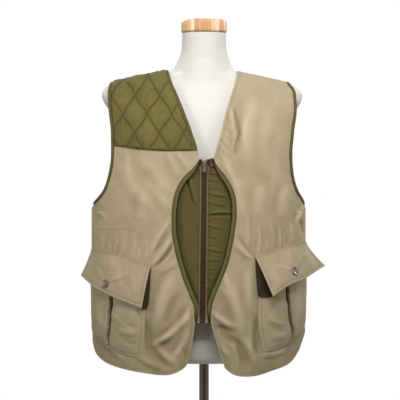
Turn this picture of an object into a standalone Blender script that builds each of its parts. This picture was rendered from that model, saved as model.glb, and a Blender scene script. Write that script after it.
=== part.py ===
# Outdoor vest on a limbless dress form.
# Metres, +Z up. The vest's front faces -Y, and its wearer's right side is at -X.
# The cloth follows one garment surface: rings under the yoke level, and above it
# a yoke that closes to the shoulder seams. Every panel is a wall on that surface.
import math

import bmesh
import bpy
import numpy as np
from mathutils import Vector

# Fits and cloth walls
SEAM_GAP = 0.0003
POPLIN = 0.0015
LINING_CLOTH = 0.0012
ARMHOLE_BINDING_WIDTH = 0.0080
POUCH_BINDING_WIDTH = 0.0098
BINDING_GAP = 0.0005
BINDING_FADE = 0.030
BINDING_END_CLEARANCE = 0.004
BINDING_END_WIDTH = 0.0012
BINDING_THICKNESS = 0.0028
OVERLAY_GAP = 0.0009

# Garment surface
VEST_CENTRE_X = -0.0125
RING_POWER = 2.4
YOKE_HEIGHT = 1.190
ARMPIT_HEIGHT = 1.1205
SHOULDER_Y = 0.004
FRONT_YOKE_BEND = 0.55
BACK_YOKE_BEND = 0.45
BACK_NECK_CENTRE_X = -0.0028
BACK_NECK_HALF_WIDTH = 0.0785
BACK_NECK_DROP = 0.085

# Columns: height, half width, front depth, back depth
VEST_RINGS = (
    (0.700, 0.2360, 0.150, 0.124),
    (0.800, 0.2405, 0.150, 0.124),
    (0.850, 0.2430, 0.149, 0.123),
    (0.950, 0.2445, 0.147, 0.122),
    (1.050, 0.2450, 0.145, 0.122),
    (1.130, 0.2450, 0.142, 0.124),
    (1.200, 0.2440, 0.137, 0.127),
)

# Columns: x, height of the shoulder seam
SHOULDER_LINE = (
    (-0.2500, 1.4000),
    (-0.2139, 1.4085),
    (-0.0830, 1.4345),
    (-0.0500, 1.4375),
    (0.0500, 1.4375),
    (0.0770, 1.4335),
    (0.1932, 1.4085),
    (0.2300, 1.3960),
)

# Columns: height, x of the right front's edge, x of the left front's edge
FRONT_EDGES = (
    (1.4400, -0.0832, 0.0785),
    (1.4051, -0.0726, 0.0700),
    (1.3688, -0.0567, 0.0587),
    (1.3281, -0.0409, 0.0470),
    (1.2919, -0.0273, 0.0390),
    (1.2557, -0.0155, 0.0285),
    (1.2300, -0.0112, 0.0215),
    (1.2100, -0.0178, 0.0265),
    (1.1830, -0.0405, 0.0438),
    (1.1600, -0.0530, 0.0555),
    (1.1369, -0.0592, 0.0614),
    (1.1061, -0.0627, 0.0628),
    (1.0701, -0.0624, 0.0590),
    (1.0317, -0.0564, 0.0522),
    (0.9933, -0.0472, 0.0428),
    (0.9526, -0.0339, 0.0270),
    (0.9191, -0.0203, 0.0132),
    (0.8950, -0.0118, 0.0070),
    (0.8803, -0.0170, 0.0098),
    (0.8573, -0.0209, 0.0167),
    (0.8294, -0.0246, 0.0250),
    (0.8066, -0.0291, 0.0323),
    (0.7869, -0.0324, 0.0378),
    (0.7704, -0.0389, 0.0440),
)

# Columns: height, x of the right armhole seam, x of the left armhole seam
ARMHOLES = (
    (1.4150, -0.2050, 0.1840),
    (1.3990, -0.2105, 0.1930),
    (1.3850, -0.2122, 0.2020),
    (1.3496, -0.2100, 0.2040),
    (1.2944, -0.2035, 0.1970),
    (1.2392, -0.2025, 0.1920),
    (1.2024, -0.2075, 0.1940),
    (1.1840, -0.2125, 0.1975),
    (1.1656, -0.2180, 0.2030),
    (1.1500, -0.2268, 0.2105),
    (1.1380, -0.2370, 0.2195),
    (1.1280, -0.2480, 0.2265),
    (1.1205, -0.2574, 0.2324),
)

# Columns: share of the way from the front edge to the side seam,
# height of the right front's hem, height of the left front's hem
FRONT_HEMS = (
    (0.000, 0.7690, 0.7670),
    (0.045, 0.7545, 0.7515),
    (0.110, 0.7465, 0.7435),
    (0.220, 0.7490, 0.7440),
    (0.380, 0.7560, 0.7550),
    (0.560, 0.7660, 0.7680),
    (0.700, 0.7770, 0.7925),
    (0.820, 0.7930, 0.8185),
    (1.000, 0.8280, 0.8450),
)

# Columns: share of the way from the right side seam to the left one, height
BACK_HEM = (
    (0.00, 0.828),
    (0.12, 0.800),
    (0.28, 0.784),
    (0.50, 0.778),
    (0.72, 0.786),
    (0.88, 0.808),
    (1.00, 0.845),
)

# Largest folds of the fronts, as soft ridges between two points seen from the front.
# Columns: x and height of one end, x and height of the other end, half width, rise
FRONT_FOLDS = (
    (-0.112, 1.014, -0.078, 1.060, 0.0110, 0.0045),
    (-0.236, 1.090, -0.238, 1.050, 0.0100, 0.0040),
    (-0.190, 1.094, -0.184, 1.046, 0.0110, 0.0040),
    (-0.145, 1.080, -0.143, 1.036, 0.0110, 0.0035),
    (-0.050, 0.800, -0.098, 0.930, 0.0150, 0.0065),
    (-0.098, 0.770, -0.118, 0.880, 0.0140, 0.0045),
    (0.074, 1.340, 0.087, 1.275, 0.0110, 0.0045),
    (0.087, 1.275, 0.077, 1.225, 0.0110, 0.0045),
    (0.104, 1.110, 0.106, 1.050, 0.0110, 0.0035),
    (0.132, 1.100, 0.134, 1.055, 0.0110, 0.0035),
    (0.180, 1.110, 0.182, 1.072, 0.0110, 0.0040),
    (0.224, 1.112, 0.212, 1.088, 0.0110, 0.0035),
    (0.058, 0.800, 0.086, 0.920, 0.0150, 0.0065),
    (0.104, 0.775, 0.112, 0.860, 0.0130, 0.0040),
)
# Columns: x and height of one end, x and height of the other end, half width, rise
BACK_FOLDS = (
    (-0.175, 1.085, -0.165, 0.860, 0.0150, 0.0060),
    (-0.085, 1.060, -0.075, 0.840, 0.0150, 0.0050),
    (0.020, 1.080, 0.010, 0.830, 0.0160, 0.0060),
    (0.105, 1.050, 0.098, 0.850, 0.0150, 0.0050),
    (0.180, 1.090, 0.165, 0.870, 0.0150, 0.0060),
)

# Grids of the panels
FRONT_COLUMNS = 16
FRONT_COLUMN_SPREAD = 0.18
BACK_COLUMNS = 20
YOKE_SHARES = (0.0, 0.016, 0.052, 0.11, 0.20, 0.32, 0.45, 0.58, 0.71, 0.84, 0.92)
ARMPIT_ROWS = 6
BODY_ROWS = 10

# Zip and inner fronts
ZIP_TOP = 1.2290
ZIP_BOTTOM = 0.8630
ZIP_TOP_X = 0.0009
ZIP_BOTTOM_X = -0.0038
CHAIN_HALF_WIDTH = 0.0048
CHAIN_THICKNESS = 0.0028
TAPE_HALF_WIDTH = 0.0122
TAPE_THICKNESS = 0.0010
STOP_THICKNESS = 0.0036
STOP_HEIGHT = 0.0060
INNER_TOP = 1.2330
INNER_BOTTOM = 0.8620
INNER_REACH = 0.150
INNER_END_REACH = 0.034
POUCH_DEPTH = 0.0131
POUCH_EDGE_DEPTH = 0.0020

# Gathers of the left inner front along the zip.
# Columns: height at the zip, reach across, fall over that reach, half width, rise
ZIP_GATHERS = (
    (1.168, 0.030, 0.004, 0.0040, 0.0018),
    (1.153, 0.034, 0.007, 0.0042, 0.0026),
    (1.131, 0.040, 0.008, 0.0044, 0.0030),
    (1.107, 0.050, 0.004, 0.0046, 0.0034),
    (1.080, 0.038, 0.009, 0.0044, 0.0030),
    (1.057, 0.034, 0.007, 0.0042, 0.0028),
    (1.028, 0.032, 0.006, 0.0042, 0.0028),
    (1.006, 0.028, 0.005, 0.0040, 0.0024),
    (0.988, 0.024, 0.004, 0.0038, 0.0020),
    (0.966, 0.020, 0.003, 0.0038, 0.0016),
)

# Slider and pull tab
SLIDER_WIDTH = 0.0105
SLIDER_LENGTH = 0.0135
SLIDER_THICKNESS = 0.0016
SLIDER_TOP = 1.2265
BRIDGE_WIDTH = 0.0028
BRIDGE_WALL = 0.0010
BRIDGE_INNER_HEIGHT = 0.0020
BRIDGE_INNER_LENGTH = 0.0036
BRIDGE_FOOT = 0.0006
PULL_PIN_HALF = 0.0006
PULL_WIDTH = 0.0085
PULL_LENGTH = 0.0210
PULL_THICKNESS = 0.0012
PULL_WINDOW_LENGTH = 0.0046
PULL_RAIL = 0.0016

# Shoulder patch
PATCH_THICKNESS = 0.0018
PATCH_FIRST_SHARE = 0.035
PATCH_LAST_SHARE = 0.992
V_STRIP_MARGIN_SHARE = 0.004
PATCH_TOP_ROW = 0.35
PATCH_COLUMNS = 18
PATCH_ROWS = 20
DIAMOND_WIDTH = 0.055
DIAMOND_HEIGHT = 0.087
DIAMOND_CROSSING = (-0.1000, 1.3730)
QUILT_RISE = 0.0040
V_STRIP_THICKNESS = 0.0012
# Columns: x, height of the patch's lower edge
PATCH_HEM = (
    (-0.2100, 1.2615),
    (-0.1900, 1.2590),
    (-0.1408, 1.2518),
    (-0.0813, 1.2484),
    (-0.0100, 1.2496),
)

# Pockets, one row for each side of the wearer.
# Columns: x of the inner edge at the top, x of the inner edge at the bottom, top height,
# bottom height at the inner edge, bottom height at the side, share of the width at the pleat
POCKETS = {
    "right": (-0.1380, -0.1395, 0.952, 0.7845, 0.8450, 0.455),
    "left": (0.1290, 0.1310, 0.970, 0.7960, 0.8640, 0.435),
}
POCKET_CLOTH = 0.0015
POCKET_STAND_OFF = 0.0112
POCKET_COLUMNS = 9
POCKET_ROWS = 9
POCKET_END_SHARE = 0.945
PLEAT_STEPS = (-0.050, -0.018, 0.0, 0.018, 0.050)
PLEAT_HALF_WIDTH = 0.0035
PLEAT_DEPTH = 0.0080

# Flaps, each between its sewn root and its free edge, which hangs clear of the pocket.
# Columns: share along the flap, x and height of the root, x, depth and height of the free edge
FLAPS = {
    "right": (
        (0.00, -0.1194, 0.9906, -0.1391, -0.1550, 0.8966),
        (0.22, -0.1593, 1.0047, -0.1674, -0.1470, 0.9077),
        (0.42, -0.1970, 1.0165, -0.1956, -0.1390, 0.9180),
        (0.62, -0.2240, 1.0215, -0.2229, -0.1190, 0.9300),
        (0.80, -0.2420, 1.0240, -0.2507, -0.0870, 0.9438),
        (0.91, -0.2500, 1.0250, -0.2660, -0.0600, 0.9539),
        (1.00, -0.2540, 1.0256, -0.2815, -0.0350, 0.9656),
    ),
    "left": (
        (0.00, 0.1133, 1.0110, 0.1522, -0.1620, 0.9227),
        (0.22, 0.1476, 1.0204, 0.1735, -0.1500, 0.9376),
        (0.42, 0.1785, 1.0305, 0.1980, -0.1320, 0.9514),
        (0.62, 0.2010, 1.0370, 0.2160, -0.1070, 0.9570),
        (0.80, 0.2170, 1.0405, 0.2323, -0.0800, 0.9626),
        (0.91, 0.2250, 1.0425, 0.2547, -0.0550, 0.9754),
        (1.00, 0.2290, 1.0436, 0.2766, -0.0320, 0.9876),
    ),
}
FLAP_END_SHARE = 0.985
FLAP_CLOTH = 0.0020
FLAP_COLUMNS = 12
FLAP_ROWS = 6
FLAP_BELLY = 0.0040
FLAP_FLARE = 0.9
# Columns: share along the flap, share from the root to the free edge
BUTTON_PLACES = {"right": (0.590, 0.76), "left": (0.500, 0.70)}
BUTTON_RADIUS = 0.0098
BUTTON_THICKNESS = 0.0032

# Dress form
FORM_SEGMENTS = 28
# Columns: height, reach towards -X, reach towards +X, front depth, back depth
FORM_RINGS = (
    (0.7680, 0.1660, 0.1660, 0.096, 0.100),
    (0.7740, 0.1740, 0.1740, 0.103, 0.107),
    (0.8200, 0.1800, 0.1800, 0.108, 0.112),
    (0.8900, 0.1780, 0.1780, 0.109, 0.112),
    (0.9600, 0.1640, 0.1640, 0.105, 0.104),
    (1.0200, 0.1560, 0.1560, 0.104, 0.098),
    (1.0900, 0.1620, 0.1620, 0.110, 0.100),
    (1.1600, 0.1740, 0.1740, 0.117, 0.108),
    (1.2200, 0.1820, 0.1820, 0.118, 0.112),
    (1.2700, 0.1880, 0.1880, 0.113, 0.112),
    (1.3150, 0.2000, 0.1980, 0.103, 0.106),
    (1.3450, 0.2180, 0.2120, 0.092, 0.096),
    (1.3650, 0.2310, 0.2230, 0.080, 0.084),
    (1.3800, 0.2346, 0.2254, 0.068, 0.071),
    (1.3940, 0.2290, 0.2160, 0.055, 0.058),
    (1.4045, 0.2130, 0.1925, 0.042, 0.044),
    (1.4110, 0.1810, 0.1640, 0.034, 0.036),
    (1.4180, 0.1440, 0.1300, 0.029, 0.030),
    (1.4250, 0.1080, 0.0970, 0.029, 0.030),
    (1.4310, 0.0815, 0.0755, 0.036, 0.036),
    (1.4420, 0.0690, 0.0655, 0.047, 0.046),
    (1.4600, 0.0590, 0.0580, 0.050, 0.049),
    (1.4840, 0.0515, 0.0515, 0.0505, 0.050),
    (1.5212, 0.0500, 0.0500, 0.050, 0.050),
)
CAP_RADIUS = 0.0525
CAP_BOTTOM = 1.5217
CAP_TOP = 1.5516
CAP_ROUNDING = 0.0070
POLE_RADIUS = 0.0110
BASE_RADIUS = 0.1700
BASE_THICKNESS = 0.0090
BASE_CHAMFER = 0.0020
TURNED_SEGMENTS = 24

# Columns: colour, roughness, metallic
FINISHES = {
    "tan_poplin": ((0.36, 0.29, 0.19), 0.82, 0.0),
    "olive_quilted": ((0.105, 0.098, 0.040), 0.85, 0.0),
    "olive_lining": ((0.120, 0.115, 0.048), 0.70, 0.0),
    "olive_binding": ((0.085, 0.078, 0.034), 0.85, 0.0),
    "brown_zip_tape": ((0.115, 0.072, 0.045), 0.85, 0.0),
    "zip_metal": ((0.30, 0.22, 0.15), 0.42, 0.9),
    "horn_button": ((0.24, 0.19, 0.15), 0.35, 0.0),
    "white_jersey": ((0.80, 0.80, 0.79), 0.90, 0.0),
    "oiled_wood": ((0.50, 0.27, 0.11), 0.45, 0.0),
    "polished_steel": ((0.62, 0.62, 0.63), 0.18, 1.0),
}


def column(table, index):
    """One named column of a table, as numbers."""
    return [row[index] for row in table]


def read_table(table, index, at):
    """A column's value at a place given by the table's first column."""
    keys = column(table, 0)
    values = column(table, index)
    if keys[0] > keys[-1]:
        keys = keys[::-1]
        values = values[::-1]
    return float(np.interp(at, keys, values))


def signed_power(value, power):
    return math.copysign(abs(value) ** power, value)


def finish(name):
    """The Principled material of one finish, made once."""
    material = bpy.data.materials.get(name)
    if material is None:
        colour, roughness, metallic = FINISHES[name]
        material = bpy.data.materials.new(name)
        material.use_nodes = True
        shader = material.node_tree.nodes["Principled BSDF"]
        shader.inputs["Base Color"].default_value = (*colour, 1.0)
        shader.inputs["Roughness"].default_value = roughness
        shader.inputs["Metallic"].default_value = metallic
    return material


def add_object(name, bm, finish_name, smooth=True):
    """A closed mesh as a named object with its own material."""
    bmesh.ops.recalc_face_normals(bm, faces=bm.faces)
    mesh = bpy.data.meshes.new(name)
    bm.to_mesh(mesh)
    bm.free()
    if smooth:
        mesh.shade_smooth()
        mesh.set_sharp_from_angle(angle=math.radians(40))
    mesh.materials.append(finish(finish_name))
    item = bpy.data.objects.new(name, mesh)
    bpy.context.collection.objects.link(item)
    return item


# The garment surface

def angle_at(x, height):
    """Ring angle of a point x across: 0 at the right side, pi at the left side."""
    reach = (VEST_CENTRE_X - x) / read_table(VEST_RINGS, 1, height)
    reach = max(-1.0, min(1.0, reach))
    return math.acos(signed_power(reach, RING_POWER / 2))


def x_at(angle, height):
    half_width = read_table(VEST_RINGS, 1, height)
    return VEST_CENTRE_X - half_width * signed_power(math.cos(angle), 2 / RING_POWER)


def ring_point(face, angle, height):
    """A point of the surface under the yoke level; face is -1 in front and 1 behind."""
    depth = read_table(VEST_RINGS, 2 if face < 0 else 3, height)
    y = face * depth * max(math.sin(angle), 0.0) ** (2 / RING_POWER)
    return (x_at(angle, height), y, height)


def yoke_point(face, x, share):
    """A point of the yoke: share 0 on the shoulder seam, 1 at the yoke level."""
    seam_height = read_table(SHOULDER_LINE, 1, x)
    bend = FRONT_YOKE_BEND if face < 0 else BACK_YOKE_BEND
    y_below = ring_point(face, angle_at(x, YOKE_HEIGHT), YOKE_HEIGHT)[1]
    swell = math.sin(math.pi / 2 * share ** bend)
    y = SHOULDER_Y + (y_below - SHOULDER_Y) * swell
    return (x, y, seam_height + (YOKE_HEIGHT - seam_height) * share)


def front_y(x, height):
    """Depth of the front surface behind or before the origin, at a place seen from the front."""
    if height <= YOKE_HEIGHT:
        return ring_point(-1, angle_at(x, height), height)[1]
    seam_height = read_table(SHOULDER_LINE, 1, x)
    share = (seam_height - height) / (seam_height - YOKE_HEIGHT)
    return yoke_point(-1, x, max(0.0, share))[1]


# Sheets: grids of points with their normals

def sheet_normals(points, face):
    """Unit normals of a grid of points, pointing out of the garment."""
    along = np.gradient(points, axis=1)
    down = np.gradient(points, axis=0)
    normals = np.cross(along, down)
    normals /= np.linalg.norm(normals, axis=2, keepdims=True)
    middle = normals[points.shape[0] // 2, points.shape[1] // 2]
    if middle[1] * face < 0:
        normals = -normals
    return normals


def fold_rise(points, folds):
    """How far the soft ridges of a table lift each point of a grid."""
    across = points[..., 0]
    height = points[..., 2]
    rise = np.zeros(across.shape)
    for x1, z1, x2, z2, half_width, top in folds:
        length = math.hypot(x2 - x1, z2 - z1)
        ux = (x2 - x1) / length
        uz = (z2 - z1) / length
        along = (across - x1) * ux + (height - z1) * uz
        beyond = np.maximum(np.maximum(-along, along - length), 0.0)
        sideways = (across - x1) * uz - (height - z1) * ux
        rise += top * np.exp(-(sideways / half_width) ** 2 - (beyond / half_width) ** 2)
    return rise


def lifted(sheet, distance):
    """A sheet moved out along its normals, by one distance or by one for each point."""
    points, normals = sheet
    distance = np.asarray(distance, dtype=float)
    if distance.ndim == 0:
        distance = np.full(points.shape[:2], float(distance))
    return points + normals * distance[..., None], normals


def sample(sheet, row, col):
    """Point and normal of a sheet at a fractional row and column."""
    points, normals = sheet
    rows, cols = points.shape[:2]
    i = min(int(row), rows - 2)
    j = min(int(col), cols - 2)
    a = row - i
    b = col - j
    found = []
    for values in (points, normals):
        top = values[i, j] * (1 - b) + values[i, j + 1] * b
        low = values[i + 1, j] * (1 - b) + values[i + 1, j + 1] * b
        found.append(top * (1 - a) + low * a)
    return found[0], found[1] / np.linalg.norm(found[1])


def row_at_height(sheet, col, height):
    """The fractional row where one column of a sheet passes a height."""
    heights = [sample(sheet, row, col)[0][2] for row in range(sheet[0].shape[0])]
    return float(np.interp(-height, [-z for z in heights], range(len(heights))))


def column_at_x(sheet, x, height):
    """The fractional column where a sheet passes x at a height."""
    last = sheet[0].shape[1] - 1
    steps = np.linspace(0.0, last, 8 * last + 1)
    xs = [sample(sheet, row_at_height(sheet, col, height), col)[0][0] for col in steps]
    if xs[0] > xs[-1]:
        return float(np.interp(-x, [-value for value in xs], steps))
    return float(np.interp(x, xs, steps))


def part_of_sheet(sheet, downs, alongs, row_of, col_of):
    """A finer sheet on another one: row_of and col_of give its places from two shares."""
    points = np.zeros((len(downs), len(alongs), 3))
    normals = np.zeros((len(downs), len(alongs), 3))
    for i, down in enumerate(downs):
        for j, along in enumerate(alongs):
            col = col_of(along, down)
            row = row_of(col, along, down)
            points[i, j], normals[i, j] = sample(sheet, row, col)
    return points, normals


# Solids from sheets

def wall(name, sheet, thickness, finish_name, outer_rise=None):
    """A closed cloth wall with the sheet in its middle, and an optional raised outer face."""
    points, normals = sheet
    rows, cols = points.shape[:2]
    outer_lift = np.full((rows, cols), thickness / 2)
    if outer_rise is not None:
        outer_lift = outer_lift + outer_rise
    outer_points = points + normals * outer_lift[..., None]
    inner_points = points - normals * thickness / 2
    bm = bmesh.new()
    outer = [[bm.verts.new(outer_points[i, j]) for j in range(cols)] for i in range(rows)]
    inner = [[bm.verts.new(inner_points[i, j]) for j in range(cols)] for i in range(rows)]
    for i in range(rows - 1):
        for j in range(cols - 1):
            bm.faces.new((outer[i][j], outer[i][j + 1], outer[i + 1][j + 1], outer[i + 1][j]))
            bm.faces.new((inner[i][j], inner[i + 1][j], inner[i + 1][j + 1], inner[i][j + 1]))
    rim = [(0, j) for j in range(cols)]
    rim += [(i, cols - 1) for i in range(1, rows)]
    rim += [(rows - 1, j) for j in range(cols - 2, -1, -1)]
    rim += [(i, 0) for i in range(rows - 2, 0, -1)]
    for (i, j), (k, m) in zip(rim, rim[1:] + rim[:1]):
        bm.faces.new((outer[i][j], inner[i][j], inner[k][m], outer[k][m]))
    return add_object(name, bm, finish_name)


def edge_binding(name, path, normals, outward, widths, finish_name, closed):
    """A rounded strip just outside a seam line: path, normals and outward are per point."""
    half = BINDING_THICKNESS / 2
    bm = bmesh.new()
    rings = []
    for point, normal, out, width in zip(path, normals, outward, widths):
        thick = min(half, width / 2)
        root = min(POPLIN * 0.6, thick)
        profile = (
            (0.0, -root), (0.5 * width, -thick), (width, -0.4 * thick),
            (width, 0.4 * thick), (0.5 * width, thick), (0.0, root),
        )
        ring = [bm.verts.new(point + out * (BINDING_GAP + reach) + normal * rise) for reach, rise in profile]
        rings.append(ring)
    count = len(rings)
    for index in range(count if closed else count - 1):
        here = rings[index]
        there = rings[(index + 1) % count]
        for k in range(len(here)):
            n = (k + 1) % len(here)
            bm.faces.new((here[k], here[n], there[n], there[k]))
    if not closed:
        bm.faces.new(rings[0])
        bm.faces.new(rings[-1][::-1])
    return add_object(name, bm, finish_name)


def outward_directions(path, normals, inside, closed):
    """Directions in the cloth's surface, square to the seam line and away from the panel."""
    path = np.array(path)
    if closed:
        tangents = np.roll(path, -1, axis=0) - np.roll(path, 1, axis=0)
    else:
        tangents = np.gradient(path, axis=0)
    outward = np.cross(tangents, np.array(normals))
    outward /= np.linalg.norm(outward, axis=1, keepdims=True)
    for index, point in enumerate(path):
        if np.dot(outward[index], point - inside[index]) < 0:
            outward[index] = -outward[index]
    return outward


def turned(name, profile, segments, finish_name):
    """A solid of revolution about +Z from a profile of radius and height, axis to axis."""
    bm = bmesh.new()
    verts = [bm.verts.new((radius, 0.0, height)) for radius, height in profile]
    edges = [bm.edges.new(pair) for pair in zip(verts, verts[1:])]
    bmesh.ops.spin(
        bm, geom=verts + edges, cent=(0, 0, 0), axis=(0, 0, 1),
        angle=2 * math.pi, steps=segments, use_merge=True,
    )
    bmesh.ops.remove_doubles(bm, verts=bm.verts, dist=1e-6)
    return add_object(name, bm, finish_name)


def box_mesh(bm, low, high):
    """Adds a closed box between two corners."""
    made = bmesh.ops.create_cube(bm, size=1.0)["verts"]
    low = Vector(low)
    high = Vector(high)
    for vert in made:
        share = vert.co + Vector((0.5, 0.5, 0.5))
        vert.co = Vector([low[k] + (high[k] - low[k]) * share[k] for k in range(3)])


def extrude_outline(outline, direction):
    """A closed solid from a flat outline of points, pushed along one direction."""
    bm = bmesh.new()
    face = bm.faces.new([bm.verts.new(point) for point in outline])
    made = bmesh.ops.extrude_face_region(bm, geom=[face])
    moved = [item for item in made["geom"] if isinstance(item, bmesh.types.BMVert)]
    bmesh.ops.translate(bm, verts=moved, vec=direction)
    return bm


# The two fronts

def hem_height(side_index, share):
    return read_table(FRONT_HEMS, side_index, share)


def binding_setback(height):
    """How far the oval's seam line lies behind the finished edge, fading out at its ends."""
    middle = (ZIP_TOP + ZIP_BOTTOM) / 2
    half = (ZIP_TOP - ZIP_BOTTOM) / 2
    share = min(1.0, abs(height - middle) / half)
    return (POUCH_BINDING_WIDTH + BINDING_GAP) * min(1.0, (1.0 - share) * half / BINDING_FADE)


def front_edge_x(side_index, height):
    away = -1 if side_index == 1 else 1
    return read_table(FRONT_EDGES, side_index, height) + away * binding_setback(height)


def armhole_angle(side_index, height, level):
    side_angle = 0.0 if side_index == 1 else math.pi
    if height <= ARMPIT_HEIGHT:
        return side_angle
    return angle_at(read_table(ARMHOLES, side_index, height), level)


def body_shares(hem_at_side):
    """Shares of the way down from the yoke level, with one row just at the armpit."""
    armpit = (YOKE_HEIGHT - ARMPIT_HEIGHT) / (YOKE_HEIGHT - hem_at_side)
    upper = list(np.linspace(0.0, armpit, ARMPIT_ROWS + 1))
    lower = list(np.linspace(armpit, 1.0, BODY_ROWS + 1))
    return upper + lower[1:]


def yoke_edge(edge_x, share):
    """x of an edge where it crosses a row of the yoke; edge_x gives x from a height."""
    x = edge_x(1.3)
    for _ in range(12):
        seam_height = read_table(SHOULDER_LINE, 1, x)
        x = edge_x(seam_height + (YOKE_HEIGHT - seam_height) * share)
    return x


def front_sheet(side_index):
    """Grid of one front: side_index 1 is the wearer's right, 2 the wearer's left."""
    shares = np.linspace(0.0, 1.0, FRONT_COLUMNS + 1)
    shares = (1.0 - FRONT_COLUMN_SPREAD) * shares + FRONT_COLUMN_SPREAD * shares ** 2
    rows = []
    for share in YOKE_SHARES:
        inner_x = yoke_edge(lambda z: front_edge_x(side_index, z), share)
        outer_x = yoke_edge(lambda z: read_table(ARMHOLES, side_index, z), share)
        start = angle_at(inner_x, YOKE_HEIGHT)
        end = angle_at(outer_x, YOKE_HEIGHT)
        rows.append([yoke_point(-1, x_at(start + (end - start) * u, YOKE_HEIGHT), share) for u in shares])
    hem_side = hem_height(side_index, 1.0)
    for t in body_shares(hem_side):
        edge_height = YOKE_HEIGHT + (hem_height(side_index, 0.0) - YOKE_HEIGHT) * t
        side_height = YOKE_HEIGHT + (hem_side - YOKE_HEIGHT) * t
        start = angle_at(front_edge_x(side_index, edge_height), edge_height)
        end = armhole_angle(side_index, side_height, side_height)
        row = []
        for u in shares:
            height = YOKE_HEIGHT + (hem_height(side_index, u) - YOKE_HEIGHT) * t
            row.append(ring_point(-1, start + (end - start) * u, height))
        rows.append(row)
    points = np.array(rows)
    normals = sheet_normals(points, -1)
    return seam_ready(points, normals, -1, columns=(FRONT_COLUMNS,))


def back_sheet():
    """Grid of the back, from the right armhole to the left one."""
    shares = np.linspace(0.0, 1.0, BACK_COLUMNS + 1)
    rows = []
    for share in YOKE_SHARES:
        right_x = yoke_edge(lambda z: read_table(ARMHOLES, 1, z), share)
        left_x = yoke_edge(lambda z: read_table(ARMHOLES, 2, z), share)
        start = angle_at(right_x, YOKE_HEIGHT)
        end = angle_at(left_x, YOKE_HEIGHT)
        row = []
        for u in shares:
            x = x_at(start + (end - start) * u, YOKE_HEIGHT)
            off_centre = min(1.0, abs(x - BACK_NECK_CENTRE_X) / BACK_NECK_HALF_WIDTH)
            drop = BACK_NECK_DROP * math.sqrt(1.0 - off_centre ** 2)
            row.append(yoke_point(1, x, drop + (1 - drop) * share))
        rows.append(row)
    # The side seams meet the fronts', so each side's rows end at that front's heights.
    right_shares = body_shares(hem_height(1, 1.0))
    left_shares = body_shares(hem_height(2, 1.0))
    for right_t, left_t in zip(right_shares, left_shares):
        right_height = YOKE_HEIGHT + (hem_height(1, 1.0) - YOKE_HEIGHT) * right_t
        left_height = YOKE_HEIGHT + (hem_height(2, 1.0) - YOKE_HEIGHT) * left_t
        start = armhole_angle(1, right_height, right_height)
        end = armhole_angle(2, left_height, left_height)
        row = []
        for u in shares:
            t = right_t + (left_t - right_t) * u
            height = YOKE_HEIGHT + (read_table(BACK_HEM, 1, u) - YOKE_HEIGHT) * t
            row.append(ring_point(1, start + (end - start) * u, height))
        rows.append(row)
    points = np.array(rows)
    normals = sheet_normals(points, 1)
    return seam_ready(points, normals, 1, columns=(0, BACK_COLUMNS))


def seam_ready(points, normals, face, columns):
    """Turns a panel's edge walls square to its seams and draws it back by half the gap."""
    normals[0, :, 1] = 0.0
    points[0, :, 1] += face * SEAM_GAP
    for col in columns:
        for row in range(points.shape[0]):
            if points[row, col, 2] <= ARMPIT_HEIGHT + 1e-6:
                normals[row, col, 1] = 0.0
                points[row, col, 1] = face * SEAM_GAP * 0.6
    normals /= np.linalg.norm(normals, axis=2, keepdims=True)
    return points, normals


def build_panels():
    """The fronts and the back with their folds, and the sheets that other pieces follow."""
    sheets = {}
    for side_index, side in ((1, "right"), (2, "left")):
        sheet = front_sheet(side_index)
        sheets[side] = lifted(sheet, fold_rise(sheet[0], FRONT_FOLDS))
        wall("front_" + side, sheets[side], POPLIN, "tan_poplin")
    sheet = back_sheet()
    sheets["back"] = lifted(sheet, fold_rise(sheet[0], BACK_FOLDS))
    wall("back", sheets["back"], POPLIN, "tan_poplin")
    return sheets


# Bindings

def armhole_binding(side, sheets):
    """One olive strip all round an armhole, outside the fronts' and back's seam lines."""
    front_points, front_normals = sheets[side]
    back_points, back_normals = sheets["back"]
    back_col = 0 if side == "right" else BACK_COLUMNS
    back_next = 1 if side == "right" else BACK_COLUMNS - 1
    armpit_row = len(YOKE_SHARES) + ARMPIT_ROWS
    path = []
    normals = []
    inside = []
    for row in range(0, armpit_row + 1):
        path.append(front_points[row, -1])
        normals.append(front_normals[row, -1])
        inside.append(front_points[row, -2])
    for row in range(armpit_row - 1, 0, -1):
        path.append(back_points[row, back_col])
        normals.append(back_normals[row, back_col])
        inside.append(back_points[row, back_next])
    for row in (0, armpit_row):
        path[row][1] = (front_points[row, -1][1] + back_points[row, back_col][1]) / 2
    # Under the arm the panels lie below the strip.
    inside[armpit_row] = path[armpit_row] - np.array((0.0, 0.0, 0.01))
    outward = outward_directions(path, normals, inside, closed=True)
    widths = [ARMHOLE_BINDING_WIDTH] * len(path)
    edge_binding("armhole_binding_" + side, path, normals, outward, widths, "olive_binding", True)


def pouch_binding(side, sheets):
    """The olive strip on one curved front edge, from the V's point to the zip's foot."""
    points, normals = sheets[side]
    low = ZIP_BOTTOM + BINDING_END_CLEARANCE
    high = ZIP_TOP - BINDING_END_CLEARANCE
    rows = [i for i in range(points.shape[0]) if low < points[i, 0, 2] < high]
    path = [points[i, 0] for i in rows]
    turned_normals = [normals[i, 0] for i in rows]
    inside = [points[i, 1] for i in rows]
    outward = outward_directions(path, turned_normals, inside, closed=False)
    widths = [max(BINDING_END_WIDTH, binding_setback(point[2]) - BINDING_GAP) for point in path]
    edge_binding("pouch_binding_" + side, path, turned_normals, outward, widths, "olive_binding", False)


# Shoulder patch

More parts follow.
